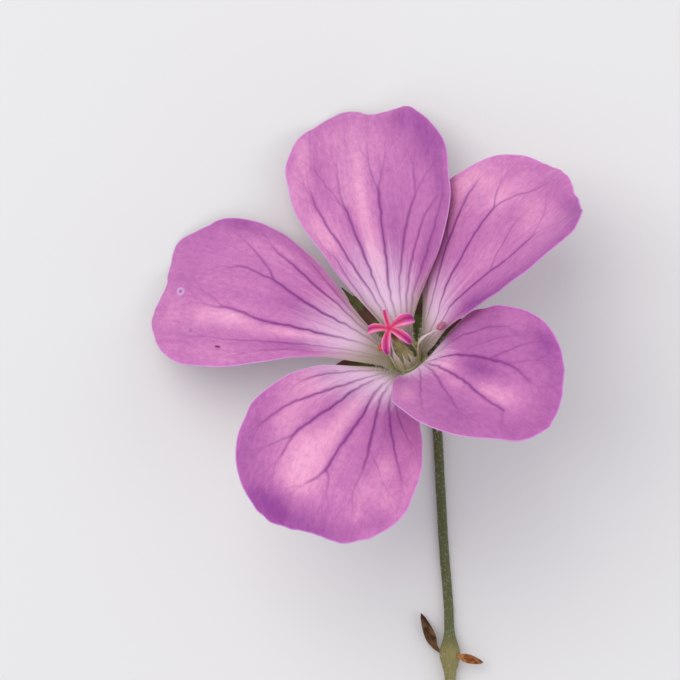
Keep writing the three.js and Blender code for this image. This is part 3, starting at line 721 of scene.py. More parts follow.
                (-0.71, 0.49), (-0.73, 0.54), (-0.78, 0.58),
            ]),
            (0.6, 0.4, 0.12, [(-0.63, 0.02), (-0.84, 0.19), (-0.86, 0.3), (-0.91, 0.41)]),
            (0.3, 0.45, 0.1, [
                (0.46, 0.02), (0.62, 0.17), (0.62, 0.3), (0.6, 0.41), (0.57, 0.52), (0.59, 0.62),
                (0.58, 0.73),
            ]),
            (0.2, 0.3, 0.08, [(0.61, 0.02), (0.81, 0.24), (0.8, 0.35), (0.73, 0.46), (0.78, 0.55)]),
        ],
    },
}


def petalOutline(petal, u):
    # from the widest place the blade closes by (1 - |u|^r)^(1/r), with a soft wave for each lobe and a
    # fine ripple of three sines
    widest = petal["widestAt"] + petal["skew"] * u
    power = petal["roundness"]
    end = widest + (1 - widest) * np.maximum(1 - np.abs(u) ** power, 0) ** (1 / power)
    for place, reach, breadth in petal["lobes"]:
        end = end + reach / petal["length"] * bell(u, place, breadth)
    for waves, height in petalLooks["ripple"]:
        end = end + height / petal["length"] * np.sin(waves * u + petal["azimuth"]) * (1 - u ** 8)
    return end


def petalSide(petal, u, t):
    # the half width opens from the claw by sin(90° · t / widest) to the power of the flare, which is
    # larger on one side than on the other
    claw = petal["claw"] / petal["halfWidth"]
    widest = petal["widestAt"] + petal["skew"] * u
    opening = np.sin(np.pi / 2 * np.clip(t / widest, 0, 1)) ** (petal["flare"] + petal["flareSkew"] * u)
    side = petal["halfWidth"] * u * (claw + (1 - claw) * opening)
    waves, height = petalLooks["sideRipple"]
    side = side + height * u ** 7 * np.sin(waves * t + petal["azimuth"]) * ease(t, 0.25, 0.4)
    for edge, place, breadth, reach, _ in petal["turns"]:
        side = side + edge * reach * marginShare(edge, place, breadth, u, t)
    return side


def marginShare(edge, place, breadth, u, t):
    # 1 at one place of a side margin, less by a bell along it and by the cube of u inwards
    return np.maximum(edge * u, 0) ** 3 * bell(t, place, breadth)


def flatPlaces(petal, places):
    u, t = np.asarray(places, float).T
    return np.stack([petalSide(petal, u, t), t * petal["length"]], -1)


def roundedLine(points):
    # Chaikin's corner cutting, three times
    for _ in range(3):
        near, far = 0.75 * points[:-1] + 0.25 * points[1:], 0.25 * points[:-1] + 0.75 * points[1:]
        points = np.concatenate([points[:1], np.stack([near, far], 1).reshape(-1, 2), points[-1:]])
    return points


def distanceTo(x, y, line):
    # distance from each place to a bent line, and how far along the line the nearest point is
    gap, along = np.full(x.shape, 1e9), np.zeros(x.shape)
    pieces = len(line) - 1
    for i in range(pieces):
        step = line[i + 1] - line[i]
        share = ((x - line[i, 0]) * step[0] + (y - line[i, 1]) * step[1]) / max(step @ step, 1e-12)
        share = np.clip(share, 0, 1)
        here = np.hypot(x - line[i, 0] - share * step[0], y - line[i, 1] - share * step[1])
        closer = here < gap
        gap[closer] = here[closer]
        along[closer] = (i + share[closer]) / pieces
    return gap, along


def drawVein(field, x, y, line, width, weights):
    # the larger of what is there and exp(-(distance / width)²), weighted from the vein's foot to its tip
    low, high = line.min(0) - 3 * width, line.max(0) + 3 * width
    near = np.flatnonzero((x > low[0]) & (x < high[0]) & (y > low[1]) & (y < high[1]))
    if near.size:
        gap, along = distanceTo(x[near], y[near], line)
        weight = np.interp(along, np.linspace(0, 1, len(weights)), weights)
        thick = width * (0.45 + 0.55 * weight / max(weights))
        field[near] = np.maximum(field[near], weight * bell(gap, 0, thick))


def facing(heading):
    # a step of 1 mm on the flattened petal, that many degrees from straight along
    return np.array([np.sin(np.radians(heading)), np.cos(np.radians(heading))])


def headingOf(step):
    return np.degrees(np.arctan2(step[0], step[1]))


def growFork(petal, start, heading, length, level, rng, lines):
    # a bent twig that splits in two at its end, until it is `level` splits old or leaves the blade
    looks = petalLooks
    middle = start + length / 2 * facing(heading)
    heading += rng.uniform(-looks["forkBend"], looks["forkBend"])
    tip = middle + length / 2 * facing(heading)
    t = tip[1] / petal["length"]
    u = tip[0] / petalSide(petal, np.array(1.0), t)
    if abs(u) > 0.96 or t > petalOutline(petal, u) - 0.015:  # too near the rim
        return
    lines.append((level, np.array([start, middle, tip])))
    if level == 0:
        return
    ahead = 0.75 * heading + 0.4 * headingOf(tip + np.array([0, 2]))  # the twigs fan out from the claw
    for side in (-1, 1):
        after = ahead + side * rng.uniform(*looks["forkAngle"])
        growFork(petal, tip, after, length * rng.uniform(*looks["forkShrink"]), level - 1, rng, lines)


def growVeins(petal, rng):
    # the named veins, forks from their tips, and slender twigs along both of their sides
    looks = petalLooks
    mains = [(strengths, roundedLine(flatPlaces(petal, places))) for *strengths, places in petal["veins"]]
    forks, twigs = [], []
    starts = [line[0] for _, line in mains]
    for _, line in mains:
        tip = line[-1]
        heading = headingOf(tip - line[-5])
        if min(np.hypot(*(start - tip)) for start in starts) > 0.2:  # no other vein goes on from here
            for side in (-1, 1):
                turn = side * rng.uniform(*looks["tipForkAngle"])
                growFork(petal, tip, heading + turn, looks["tipForkLength"], 2, rng, forks)
        run = runAlong(line)
        side = rng.choice([-1, 1])
        place = run[-1] * 0.3 + rng.uniform(0, 1.2)
        while place < run[-1] - 0.5:
            start, ahead = pointsAt(line, run, np.array([place, place + 0.3]))
            heading = headingOf(ahead - start) + side * rng.uniform(*looks["twigAngle"])
            growFork(petal, start, heading, rng.uniform(*looks["twigLength"]), 1, rng, twigs)
            side = -side
            place += rng.uniform(*looks["twigEvery"])
    return mains, forks, twigs


def veinFields(petal, x, y, rng):
    # how strong the veins are at each place, and how far it is to the nearest main one; a fainter vein
    # counts as further off
    looks = petalLooks
    mains, forks, twigs = growVeins(petal, rng)
    noiseX, noiseY = x / looks["wanderEvery"], y / looks["wanderEvery"] + 20
    unevenX = x + looks["wander"] * softNoise(noiseX + 20, noiseY, rng)
    unevenY = y + looks["wander"] * softNoise(noiseX + 40, noiseY, rng)
    vein, nearest = np.zeros(x.size), np.full(x.size, 9.0)
    for (foot, middle, tip), line in mains:
        weights = np.array([foot, (foot + middle) / 2, middle, middle, (middle + tip) / 2, tip])
        width = looks["veinWidth"] * (0.55 + 0.45 * max(foot, middle))
        drawVein(vein, unevenX, unevenY, line, width, weights ** looks["veinFade"])
        nearest = np.minimum(nearest, distanceTo(x, y, line[::3])[0] + 0.7 * (1 - middle))
    for lines, (width, least, step, fade) in ((forks, looks["fork"]), (twigs, looks["twig"])):
        for level, line in lines:
            drawVein(vein, unevenX, unevenY, line, width, np.array(fade) * (least + step * level))
    return vein, nearest


def rimDistance(petal, x, y):
    # how far it is to the petal's end or to one of its sides, up to 5 mm
    edge = np.sin(np.pi / 2 * np.linspace(-1, 1, 161))
    lines = [np.stack([edge, petalOutline(petal, edge)], -1)]
    for side in (-1.0, 1.0):
        lines.append(np.stack([np.full(30, side), np.linspace(0.02, petalOutline(petal, side), 30)], -1))
    rim = np.full(x.shape, 5.0)
    for line in lines:
        rim = np.minimum(rim, distanceTo(x, y, flatPlaces(petal, line))[0])
    return rim


def toneAndPaintedLightField(petal, u, t, rim):
    # 0 is pink and 1 is purple: half, and the sum of the bells of the tones and of the flushes on the rim;
    # the tones are partly the petal's own colour, partly painted shade and painted highlight
    tone = np.zeros_like(u)
    for place, share, across, along, amount in petal["tonesAndPaintedLight"]:
        tone += amount * bell(u, place, across) * bell(t, share, along)
    for place, across, depth, amount in petal["flush"]:
        tone += amount * bell(u, place, across) * bell(rim, 0, depth) * ease(t, 0.3, 0.5)
    return 0.5 + tone / petalLooks["toneRange"]


def petalFields(petal, u, t, x, y, rng):
    # what varies over the blade; throat and claw are t over the reach of their colours, which bends with
    # exp(lean u - narrowing u²) and exp(climb u²)
    vein, nearest = veinFields(petal, x.ravel(), y.ravel(), rng)
    rim = rimDistance(petal, x, y)
    reach, lean, narrowing = petal["throat"]
    return {
        "vein": vein.reshape(u.shape), "nearest": nearest.reshape(u.shape), "rim": rim,
        "tone": toneAndPaintedLightField(petal, u, t, rim),
        "throat": t / (reach * np.exp(lean * u - narrowing * u ** 2)),
        "claw": t / (petal["clawAndShadeReach"] * np.exp(petalLooks["clawClimb"] * u ** 2)),
    }


def petalMarks(petal, x, y):
    # a dark fleck, exp(-(r / radius)⁴) of an oval, and pale scars: a ring round a dark middle
    fleck, scar = np.zeros_like(x), np.zeros_like(x)
    if "fleck" in petal:
        u, t, long, short = petal["fleck"]
        centre = flatPlaces(petal, [(u, t)])[0]
        fleck = np.exp(-((((y - centre[1]) / long) ** 2 + ((x - centre[0]) / short) ** 2) ** 2))
    for u, t, radius, clear in petal.get("scars", ()):
        centre = flatPlaces(petal, [(u, t)])[0]
        away = np.hypot(x - centre[0], y - centre[1]) / radius
        scar += clear * (bell(away, 0.45, 0.5) - 1.8 * bell(away, 0, 0.45))
    return fleck, scar


def petalShape(petal, index):
    # the blade along its middle line, puffed up between the veins and waved towards its hem, with a thin
    # rim; the veins are sunk on the front and raised on the back
    looks = petalLooks
    across, along = bladeGrid(looks["columns"], looks["rows"])
    u = np.sin(np.pi / 2 * across)
    t = looks["footShare"] + along * (petalOutline(petal, u) - looks["footShare"])
    side = petalSide(petal, u, t)
    y = t * petal["length"]
    rng = np.random.default_rng(40 + index)
    made = petalFields(petal, u, t, side, y, rng)
    vein, rim = made["vein"], made["rim"]
    fleck, scar = petalMarks(petal, side, y)
    blade = ease(t, 0.08, 0.3)
    quilt = looks["quilt"] * (1 - bell(made["nearest"], 0, looks["quiltWidth"])) * blade
    crinkle = sum(height * softNoise(side / wide + 20, y / long + 20, rng)
                  for height, wide, long in looks["crinkles"])
    hem = np.exp(-rim / looks["hem"]) * ease(t, 0.35, 0.7) * (1 - 0.8 * u ** 8)
    wave = looks["hemWave"] * hem * softNoise(side / 1.5 + 20, y / 1.5 + 20, rng)
    lift = looks["ruffle"] * np.sin(np.pi * looks["ruffleWaves"] * u + 1.7 * index) * np.maximum(t, 0) ** 4
    for edge, place, breadth, _, raised in petal["turns"]:
        lift = lift + raised * marginShare(edge, place, breadth, u, t)
    out, up, slope = middleLine(petal["length"], petal["rise"], petal["fade"], t)
    turn = np.radians(petal["roll"] + petal["twist"] * t)
    curvature = np.radians(petal["cup"]) / petal["halfWidth"]
    middle, square = curvedBlade(out, up, slope, side, curvature, turn, lift)
    middle[..., 0] += looks["footRadius"]
    middle[..., 1] += petal["drift"] * t * np.abs(t) * petal["length"]
    thick = looks["thickness"] + (looks["clawThickness"] - looks["thickness"]) * bell(t, 0, looks["clawFade"])
    thinnest = looks["rimThickness"] / looks["thickness"]
    half = thick / 2 * (thinnest + (1 - thinnest) * ease(rim, 0, looks["rimTaper"]))
    shift = quilt + crinkle * blade * ease(rim, 0, 1) + wave
    front = middle + square * (half + shift - looks["veinGroove"] * vein * blade)[..., None]
    back = middle - square * (half - shift + looks["veinRidge"] * vein * blade)[..., None]
    front, back = fromBloom(front, petal["azimuth"]), fromBloom(back, petal["azimuth"])
    beard = clawHairs(front, leaned(square, petal["azimuth"]), t, rng)
    fields = {title: bothFaces(values) for title, values in made.items()} | {"reverse": onBack(u)}
    if fleck.any():
        fields |= {"fleck": bothFaces(fleck), "scar": bothFaces(scar)}
    maps = {
        "blade": np.stack([bothFaces(u) / 2 + 0.5, bothFaces(t)], -1),
        "flat": np.stack([bothFaces(side) + looks["mapStep"] * index, bothFaces(y)], -1),
    }
    return bladeMesh(front, back), fields, maps, beard


def clawHairs(front, square, t, rng):
    # white hairs on the face of the claw, and others that reach sideways over its margins
    looks = petalLooks
    up = t[:, t.shape[1] // 2]
    row = rng.choice(np.flatnonzero((up > 0.015) & (up < looks["beardTop"])), looks["beard"])
    onRim, column, outwards = hairColumns(front, row, looks["beardOnRim"], rng)
    directions = square[row, column] + outwards * np.where(onRim, 1.7, 0.1)
    directions = directions + rng.normal(0, looks["beardSpread"], (row.size, 3))
    lengths = rng.uniform(*looks["hairLength"], row.size)
    return hairMesh(front[row, column], directions, lengths, looks["hairRadius"], np.array([0, 0, -0.25]))


def petalSkin():
    # pink to purple by the tone, partly painted shade and painted highlight, broken by streaks that fan from
    # the claw and by soft mottling, and a little darker beside the main veins; pale in the throat, green
    # white on the claw with painted shade of the deep throat, dark along the veins and their net, light on
    # the very rim; a scar is pale with a dark middle
    looks = petalLooks
    s = Shader("petalSkin")
    across, along, _ = s.parts(s.map("blade"))
    side, run, _ = s.parts(s.map("flat"))
    streak = s.noise(s.vector(across * 46, along * 2.6, side * 0.02), 1, 3, 0.6)
    broad = s.noise(s.vector(across * 13, along * 1.4, side * 0.02), 1, 2)
    mottle = s.noise(s.vector(side, run * 0.7), 0.75, 3, 0.55)
    grain = s.noise(s.vector(side, run * 0.8), 7, 2)
    patches = s.noise(s.vector(side, run * 0.6), 2.4, 3, 0.6)
    tone = s.field("tone") + s.ramp(s.field("nearest"), 0.0, 0.55, 0.14, 0.0)
    for pattern, amount in ((streak, 0.2), (broad, 0.14), (mottle, 0.2), (patches, 0.3), (grain, 0.14)):
        tone = tone + (pattern - 0.5) * amount
    # pink stands partly for painted highlight and purple partly for painted shade
    stops = [(0.0, looks["pink"]), (0.5, looks["mauve"]), (1.0, looks["purple"])]
    colour = s.node("ShaderNodeValToRGB", {"stops": stops}, {0: tone})
    throat = s.ramp(s.field("throat") + (streak - 0.5) * 0.45, 0.15, 1.0, 1, 0)
    colour = s.mix(throat * 0.9, colour, looks["throat"])
    # the claw colour is the claw's green and painted shade of the deep throat
    colour = s.mix(s.ramp(s.field("claw") + (streak - 0.5) * 0.5, 0.2, 1.3, 0.9, 0), colour, looks["claw"])
    net = s.cells(s.vector(side * 1.9 + mottle * 2.2, run * 0.8 + broad * 1.6), 1, "DISTANCE_TO_EDGE")
    net = s.ramp(net, 0.0, 0.16, 1, 0) * s.ramp(along, 0.3, 0.6) * s.ramp(patches, 0.3, 0.65) * 0.13
    vein = s.field("vein") * s.ramp(along, 0.0, 0.35, 0.4, 1.0)
    colour = s.mix(vein.larger(net) * 0.94, colour, looks["vein"])
    rim = s.ramp(s.field("rim"), 0.02, 0.13, 0.5, 0) * s.ramp(along, 0.2, 0.45)
    colour = s.mix(rim, colour, looks["rim"])
    colour = s.mix(s.ramp(s.field("scar"), 0.1, 0.65) * 0.6, colour, looks["scar"])
    colour = s.mix(s.ramp(s.field("scar"), -0.03, -0.5) * 0.6, colour, looks["scarMiddle"])
    colour = s.mix(s.ramp(s.field("fleck"), 0.25, 0.6) * 0.95, colour, looks["fleck"])
    colour = s.mix(s.field("reverse") * 0.4, colour, looks["underside"])
    cells = s.cells(s.vector(side, run), 11, "F1")
    height = cells * 0.5 + streak * 0.7 + net * -2.0
    normal = s.bump(height, 0.035, 0.5)
    return s.finish(colour, 0.5 + grain * 0.16, normal, letsLightIn(0.35, (1.0, 0.45, 0.8), 0.5) | {
        "Specular IOR Level": 0.3, "Sheen Weight": 0.12, "Sheen Roughness": 0.4,
    })


hairLooks = {"light": rgb(240, 236, 228), "shade": rgb(206, 198, 190)}


def hairSkin():
    # glassy pale hairs, a little darker here and there
    s = Shader("paleHair")
    uneven = s.noise(s.place(), 2500, 1)
    shade = s.mix(uneven * 0.5, hairLooks["light"], hairLooks["shade"])
    return s.finish(shade, 0.35 + uneven * 0.2, s.bump(uneven, 0.005, 0.3),
                    letsLightIn(0.3, (1.0, 1.0, 1.0), 0.1))


skin = petalSkin()
hair = hairSkin()
beards = []
for index, (name, petal) in enumerate(petals.items()):
    shape, fields, maps, beard = petalShape(petal, index)
    addPiece(name, shape, skin, [name], fields, maps)
    beards.append(beard)
addPiece("claw_hairs", joined(beards), hair)
print("petals made")


# sepals

sepal = {
    "azimuths": {"sepal_1": 18, "sepal_2": 70, "sepal_3": 132, "sepal_4": 198, "sepal_5": 296},
    "footRadius": 2.15, "footHeight": -1.15, "footShare": -0.16,  # the foot goes on into the receptacle
    "length": 7.4, "foot": 0.75, "bulge": 1.15, "bristle": 0.22, "bladeShare": 0.84,
    "rise": (33, 14), "cup": 26, "columns": 36, "rows": 96,
    "thickness": 0.26, "rimThickness": 0.1, "ribs": (-0.52, 0.0, 0.52), "ribHeight": 0.07,
    "inside": rgb(92, 98, 44), "outside": rgb(108, 124, 70), "rib": rgb(142, 152, 96),
    "margin": rgb(128, 58, 56), "blush": rgb(96, 44, 48), "fresh": rgb(96, 120, 46),
    "streak": rgb(58, 70, 30),
    "hairs": 230, "hairsOnRim": 0.45, "hairSpread": 0.25, "hairRadius": 0.014, "hairLength": (0.3, 0.75),
    "mapStep": 7,  # keeps the pattern of one sepal apart from the next one's
    # where along the blade a sepal is reddest, over what breadth, and how much greener it is elsewhere
    "blushAt": {"sepal_3": (0.53, 0.11, 0.35), "sepal_4": (0.72, 0.16, 0)},
}


def sepalShape(index, name, azimuth):
    # a pointed oval that ends in a stiff bristle, with raised ribs along its outside
    across, along = bladeGrid(sepal["columns"], sepal["rows"])
    t = sepal["footShare"] + along * (1 - sepal["footShare"])
    share = np.clip(t / sepal["bladeShare"], 0, 1)
    halfWidth = sepal["foot"] + (sepal["bristle"] - sepal["foot"]) * share
    halfWidth = halfWidth + sepal["bulge"] * np.sin(np.pi * share)
    halfWidth = halfWidth * (1 - 0.72 * ease(t, sepal["bladeShare"] - 0.04, 1))
    side = across * halfWidth
    rng = np.random.default_rng(70 + index)
    out, up, slope = middleLine(sepal["length"], sepal["rise"], 1, t)
    curvature = np.radians(sepal["cup"]) / (sepal["foot"] + sepal["bulge"])
    wave = 0.12 * across ** 2 * softNoise(t * 7 + 9, across + 9, rng) * ease(t, 0.1, 0.3)
    middle, square = curvedBlade(out, up, slope, side, curvature, 0 * t, wave)
    middle[..., 0] += sepal["footRadius"]
    middle[..., 2] += sepal["footHeight"]
    rib = sum(bell(across, place * (1 - 0.4 * t), 0.09) for place in sepal["ribs"])
    rib = rib * (1 - ease(t, 0.7, 0.9)) * ease(t, -0.1, 0.1)
    thinnest = sepal["rimThickness"] / sepal["thickness"]
    bristle = ease(t, 0.78, 0.86)
    flat = ease(1 - np.abs(across), 0, 0.35) * (1 - bristle) + bristle
    half = sepal["thickness"] / 2 * (thinnest + (1 - thinnest) * flat)
    pucker = 0.03 * softNoise(side / 0.35 + 20, t * 22 + 20, rng)
    front = middle + square * (half + pucker - 0.35 * sepal["ribHeight"] * rib)[..., None]
    back = middle - square * (half - pucker + sepal["ribHeight"] * rib)[..., None]
    front, back = fromBloom(front, azimuth), fromBloom(back, azimuth)
    red = 0 * t
    if name in sepal["blushAt"]:
        place, breadth, greener = sepal["blushAt"][name]
        red = (1 + greener) * bell(t, place, breadth) - greener
    fields = {
        "rib": bothFaces(rib), "margin": bothFaces(np.abs(across)), "red": bothFaces(red),
        "reverse": onBack(across),
    }
    maps = {"blade": np.stack([bothFaces(side) + sepal["mapStep"] * index, bothFaces(t)], -1)}
    return bladeMesh(front, back), fields, maps, sepalHairs(back, leaned(square, azimuth), rng)


def sepalHairs(back, square, rng):
    # fine hairs from the outside of the blade, many of them out over its rim, all leaning ahead
    rows = len(back)
    row = (rows * (0.16 + 0.82 * rng.uniform(0, 1, sepal["hairs"]) ** 0.8)).astype(int).clip(0, rows - 1)
    onRim, column, outwards = hairColumns(back, row, sepal["hairsOnRim"], rng)
    ahead = unit(back[np.minimum(row + 3, rows - 1), column] - back[row - 3, column])
    directions = outwards * np.where(onRim, 1.6, 0.2) - square[row, column] + ahead * 0.5
    directions = directions + rng.normal(0, sepal["hairSpread"], (row.size, 3))
    lengths = rng.uniform(*sepal["hairLength"], row.size)
    return hairMesh(back[row, column], directions, lengths, sepal["hairRadius"], np.array([0, 0, -0.3]))


def sepalSkin():
    # olive inside, greyer outside, ribs paler, a red-brown rim and a blush that comes and goes along it
    s = Shader("sepalSkin")
    side, along, _ = s.parts(s.map("blade"))
    streak = s.noise(s.vector(side * 5, along * 5), 1.6, 3, 0.6)
    mottle = s.noise(s.vector(side, along * 7), 0.9, 2)
    colour = s.mix(s.field("reverse"), sepal["inside"], sepal["outside"])
    colour = s.mix(s.ramp(streak, 0.35, 0.75) * 0.4, colour, sepal["streak"])
    colour = s.mix(s.field("rib") * (0.25 + s.field("reverse") * 0.5), colour, sepal["rib"])
    colour = s.mix(s.ramp(along + (mottle - 0.5) * 0.3, 0.5, 0.2) * 0.6, colour, sepal["fresh"])
    blush = s.ramp(mottle + along * 0.35 + s.field("red") * 0.5, 0.55, 0.85)
    colour = s.mix(blush * 0.75, colour, sepal["blush"])
    colour = s.mix(s.ramp(s.field("margin"), 0.72, 0.98) * 0.75, colour, sepal["margin"])
    grain = s.noise(s.vector(side, along * 7.4), 9, 2)
    normal = s.bump(grain + streak, 0.05, 0.6)
    return s.finish(colour, 0.5 + grain * 0.2, normal,
                    letsLightIn(0.12, (0.6, 1.0, 0.3), 0.3) | {"Specular IOR Level": 0.35})


skin = sepalSkin()
hairs = []
for index, (name, azimuth) in enumerate(sepal["azimuths"].items()):
    shape, fields, maps, own = sepalShape(index, name, azimuth)
    addPiece(name, shape, skin, [name], fields, maps)
    hairs.append(own)
addPiece("sepal_hairs", joined(hairs), hair)
print("sepals made")


# stalk, with the receptacle and its nectaries

stalk = {
    "receptacleTop": -0.4, "receptacleRim": 1.85, "receptacleDepth": 2.0,
    "collar": 0.3, "collarPlace": 1.0,  # the swelling that carries the sepals
    "radius": 0.43, "jointRadius": 0.95, "stubRadius": 0.6, "jointHalfLength": 2.1, "trim": 0.09,
    "bendEnd": (2.9, -6.9), "halfway": (3.45, -17), "joint": (4, -26.9), "end": (4.15, -33.4),
    "sides": 28, "rings": 380,
    # the first rings and the last ones, in mm from the ends, and their share of the radius: rounded lips
    "topLip": ((0, 0.3), (0.002, 0.6), (0.004, 0.86), (0.006, 0.95), (0.02, 0.985)),
    "endLip": ((0.02, 0.97), (0.01, 0.9), (0, 0.5)),
    "nectaryRadius": 0.36, "nectaryOval": (1, 1.35, 0.9), "nectaryRing": 1.66,
    "olive": rgb(84, 88, 48), "maroon": rgb(92, 40, 44), "green": rgb(98, 108, 60),
    "swelling": rgb(142, 132, 80), "streak": rgb(150, 156, 96), "cut": rgb(190, 194, 130),
    "nectary": rgb(168, 164, 84), "nectaryShade": rgb(132, 134, 50), "cup": rgb(176, 184, 124),
    "hairs": 1500, "hairRadius": 0.011, "hairLength": (0.18, 0.42),
}


def overFloor(x, y, height):
    # a place beside the foot of the bloom
    return np.array([bloom["foot"][0] + x, bloom["foot"][1] + y, height])


def lyingPoint(place, radius):
    return overFloor(*place, radius - stalk["trim"])


def stalkRoute():
    # straight down the bloom's axis, a cubic Bezier bend to the floor, and a smooth curve along it
    top = fromBloom(np.array([0, 0, stalk["receptacleTop"]]))
    start = fromBloom(np.array([0, 0, stalk["receptacleTop"] - stalk["receptacleDepth"]]))
    end = lyingPoint(stalk["bendEnd"], stalk["radius"])
    reach = np.linalg.norm(end - start) * 0.36
    down = (start - top) / np.linalg.norm(start - top)
    s = np.linspace(0, 1, 120)[:, None]
    first, second = start + down * reach, end + np.array([0, reach, 0])
    bend = start * (1 - s) ** 3 + 3 * first * s * (1 - s) ** 2 + 3 * second * s ** 2 * (1 - s) + end * s ** 3
    joint = lyingPoint(stalk["joint"], stalk["jointRadius"])
    flat = smoothCurve([
        end, lyingPoint(stalk["halfway"], stalk["radius"]),
        joint + np.array([-0.1, 2 * stalk["jointHalfLength"], -0.5]),
        joint, lyingPoint(stalk["end"], stalk["stubRadius"]),
    ], 400)
    straight = top + (start - top) * np.linspace(0, 1, 40, endpoint=False)[:, None]
    return np.concatenate([straight, bend, flat[1:]])


def stalkRadius(run, length, jointAt):
    # the bowl eases into the plain stalk, which swells by a bell at the collar and another at the joint
    bowl = (1 - ease(run, 0.25, stalk["receptacleDepth"])) ** 0.8
    swelling = bell(run, jointAt, stalk["jointHalfLength"] * 0.62)
    plain = stalk["radius"] + (stalk["stubRadius"] - stalk["radius"]) * ease(run, jointAt, length)
    radius = plain + (stalk["jointRadius"] - plain) * swelling
    radius = radius + (stalk["receptacleRim"] - stalk["radius"]) * bowl
    return radius + stalk["collar"] * bell(run, stalk["collarPlace"], 0.45)


def stalkShape():
    # soft ribs and small lumps on the tube, a rounded lip at the receptacle and at the cut end
    route = stalkRoute()
    run = runAlong(route)
    length = run[-1]
    jointAt = length - (stalk["joint"][1] - stalk["end"][1])
    top, end = np.array(stalk["topLip"]), np.array(stalk["endLip"])
    rings = np.concatenate([top[:, 0], np.linspace(0.08, length - 0.05, stalk["rings"]), length - end[:, 0]])
    curve = pointsAt(route, run, rings)
    radius = stalkRadius(rings, length, jointAt)
    radius[:len(top)] *= top[:, 1]
    radius[-len(end):] *= end[:, 1]
    angle = fullTurn(stalk["sides"])[None]
    rng = np.random.default_rng(5)
    ribs = 0.022 * np.cos(5 * angle + rings[:, None] * 0.06) + 0.012 * np.cos(11 * angle + 1)
    around, down = np.broadcast_arrays(angle * stalk["sides"] / (2 * np.pi), rings[:, None])
    lumps = 0.02 * softNoise(around / 3.5 + 9, down / 1.1, rng)
    lumps = lumps + 0.014 * softNoise(around + 9, down / 0.35, rng)
    bumpy = ease(rings, 0.3, 2.5)[:, None]
    reach = radius[:, None] * (1 + (ribs + 1.6 * lumps) * bumpy)
    reach = reach + 0.06 * bell(rings, jointAt + 1.2, 0.16)[:, None]
    points, faces = tubeMesh(curve, reach * np.cos(angle), reach * np.sin(angle), (1, 0, 0))
    points[:, 2] = np.maximum(points[:, 2], 0)
    shape = joined([(points, faces), *(nectary(azimuth, rng) for azimuth in betweenPetals())])
    glands = np.zeros(len(shape[0]) - len(points))
    cut = ease(rings, length - 0.012, length - 0.008).repeat(stalk["sides"])
    fields = {
        "gland": np.concatenate([np.zeros(len(points)), glands + 1]),
        "ends": np.concatenate([cut, [0, 1], glands]),
    }
    turns = np.concatenate([np.tile(angle[0], len(rings)), [0, 0], glands])
    runs = np.concatenate([np.repeat(rings, stalk["sides"]), [0, length], glands])
    return shape, fields, {"skin": np.stack([turns, runs], -1)}, curve, reach, jointAt


def betweenPetals():
    # the directions midway between each petal and the next
    azimuths = np.sort([petal["azimuth"] for petal in petals.values()])
    return (azimuths + np.append(azimuths[1:], azimuths[0] + 360)) / 2


def nectary(azimuth, rng):
    # a plump gland: a squashed ball with a few soft lumps
    theta, phi = ballAngles(13, 20)
    lumps = 1 + 0.12 * softNoise(phi * 1.6 + 9, theta * 2 + 9, rng)
    ball = np.stack([np.sin(theta) * np.cos(phi), np.sin(theta) * np.sin(phi), np.cos(theta)], -1)
    ball = np.concatenate([(ball * lumps[..., None]).reshape(-1, 3), [[0, 0, 1], [0, 0, -1]]])
    ball = ball * np.array(stalk["nectaryOval"]) * stalk["nectaryRadius"]
    ball = ball + np.array([stalk["nectaryRing"], 0, stalk["receptacleTop"] + 0.02])
    return fromBloom(ball, azimuth), cappedRings(*theta.shape)[:, ::-1]


def stalkHairs(curve, reach):
    # short hairs all round, denser towards the bloom, that lean back towards the foot of the stalk
    rng = np.random.default_rng(11)
    tangent, side, other = sweepFrame(curve, np.array([1.0, 0, 0]))
    count = stalk["hairs"]
    row = (len(curve) * (0.07 + 0.92 * rng.uniform(0, 1, count) ** 1.3)).astype(int).clip(0, len(curve) - 5)
    angle = rng.uniform(0, 2 * np.pi, count)
    square = side[row] * np.cos(angle)[:, None] + other[row] * np.sin(angle)[:, None]
    roots = curve[row] + square * (reach[row].mean(1) - 0.02)[:, None]
    directions = square + tangent[row] * rng.uniform(0.1, 0.9, count)[:, None]
    directions = directions + rng.normal(0, 0.2, (count, 3))
    clear = roots[:, 2] + directions[:, 2] * 0.4 > 0.03  # of the floor
    lengths = rng.uniform(*stalk["hairLength"], clear.sum())
    return hairMesh(roots[clear], directions[clear], lengths, stalk["hairRadius"], tangent[row][clear] * 0.5)


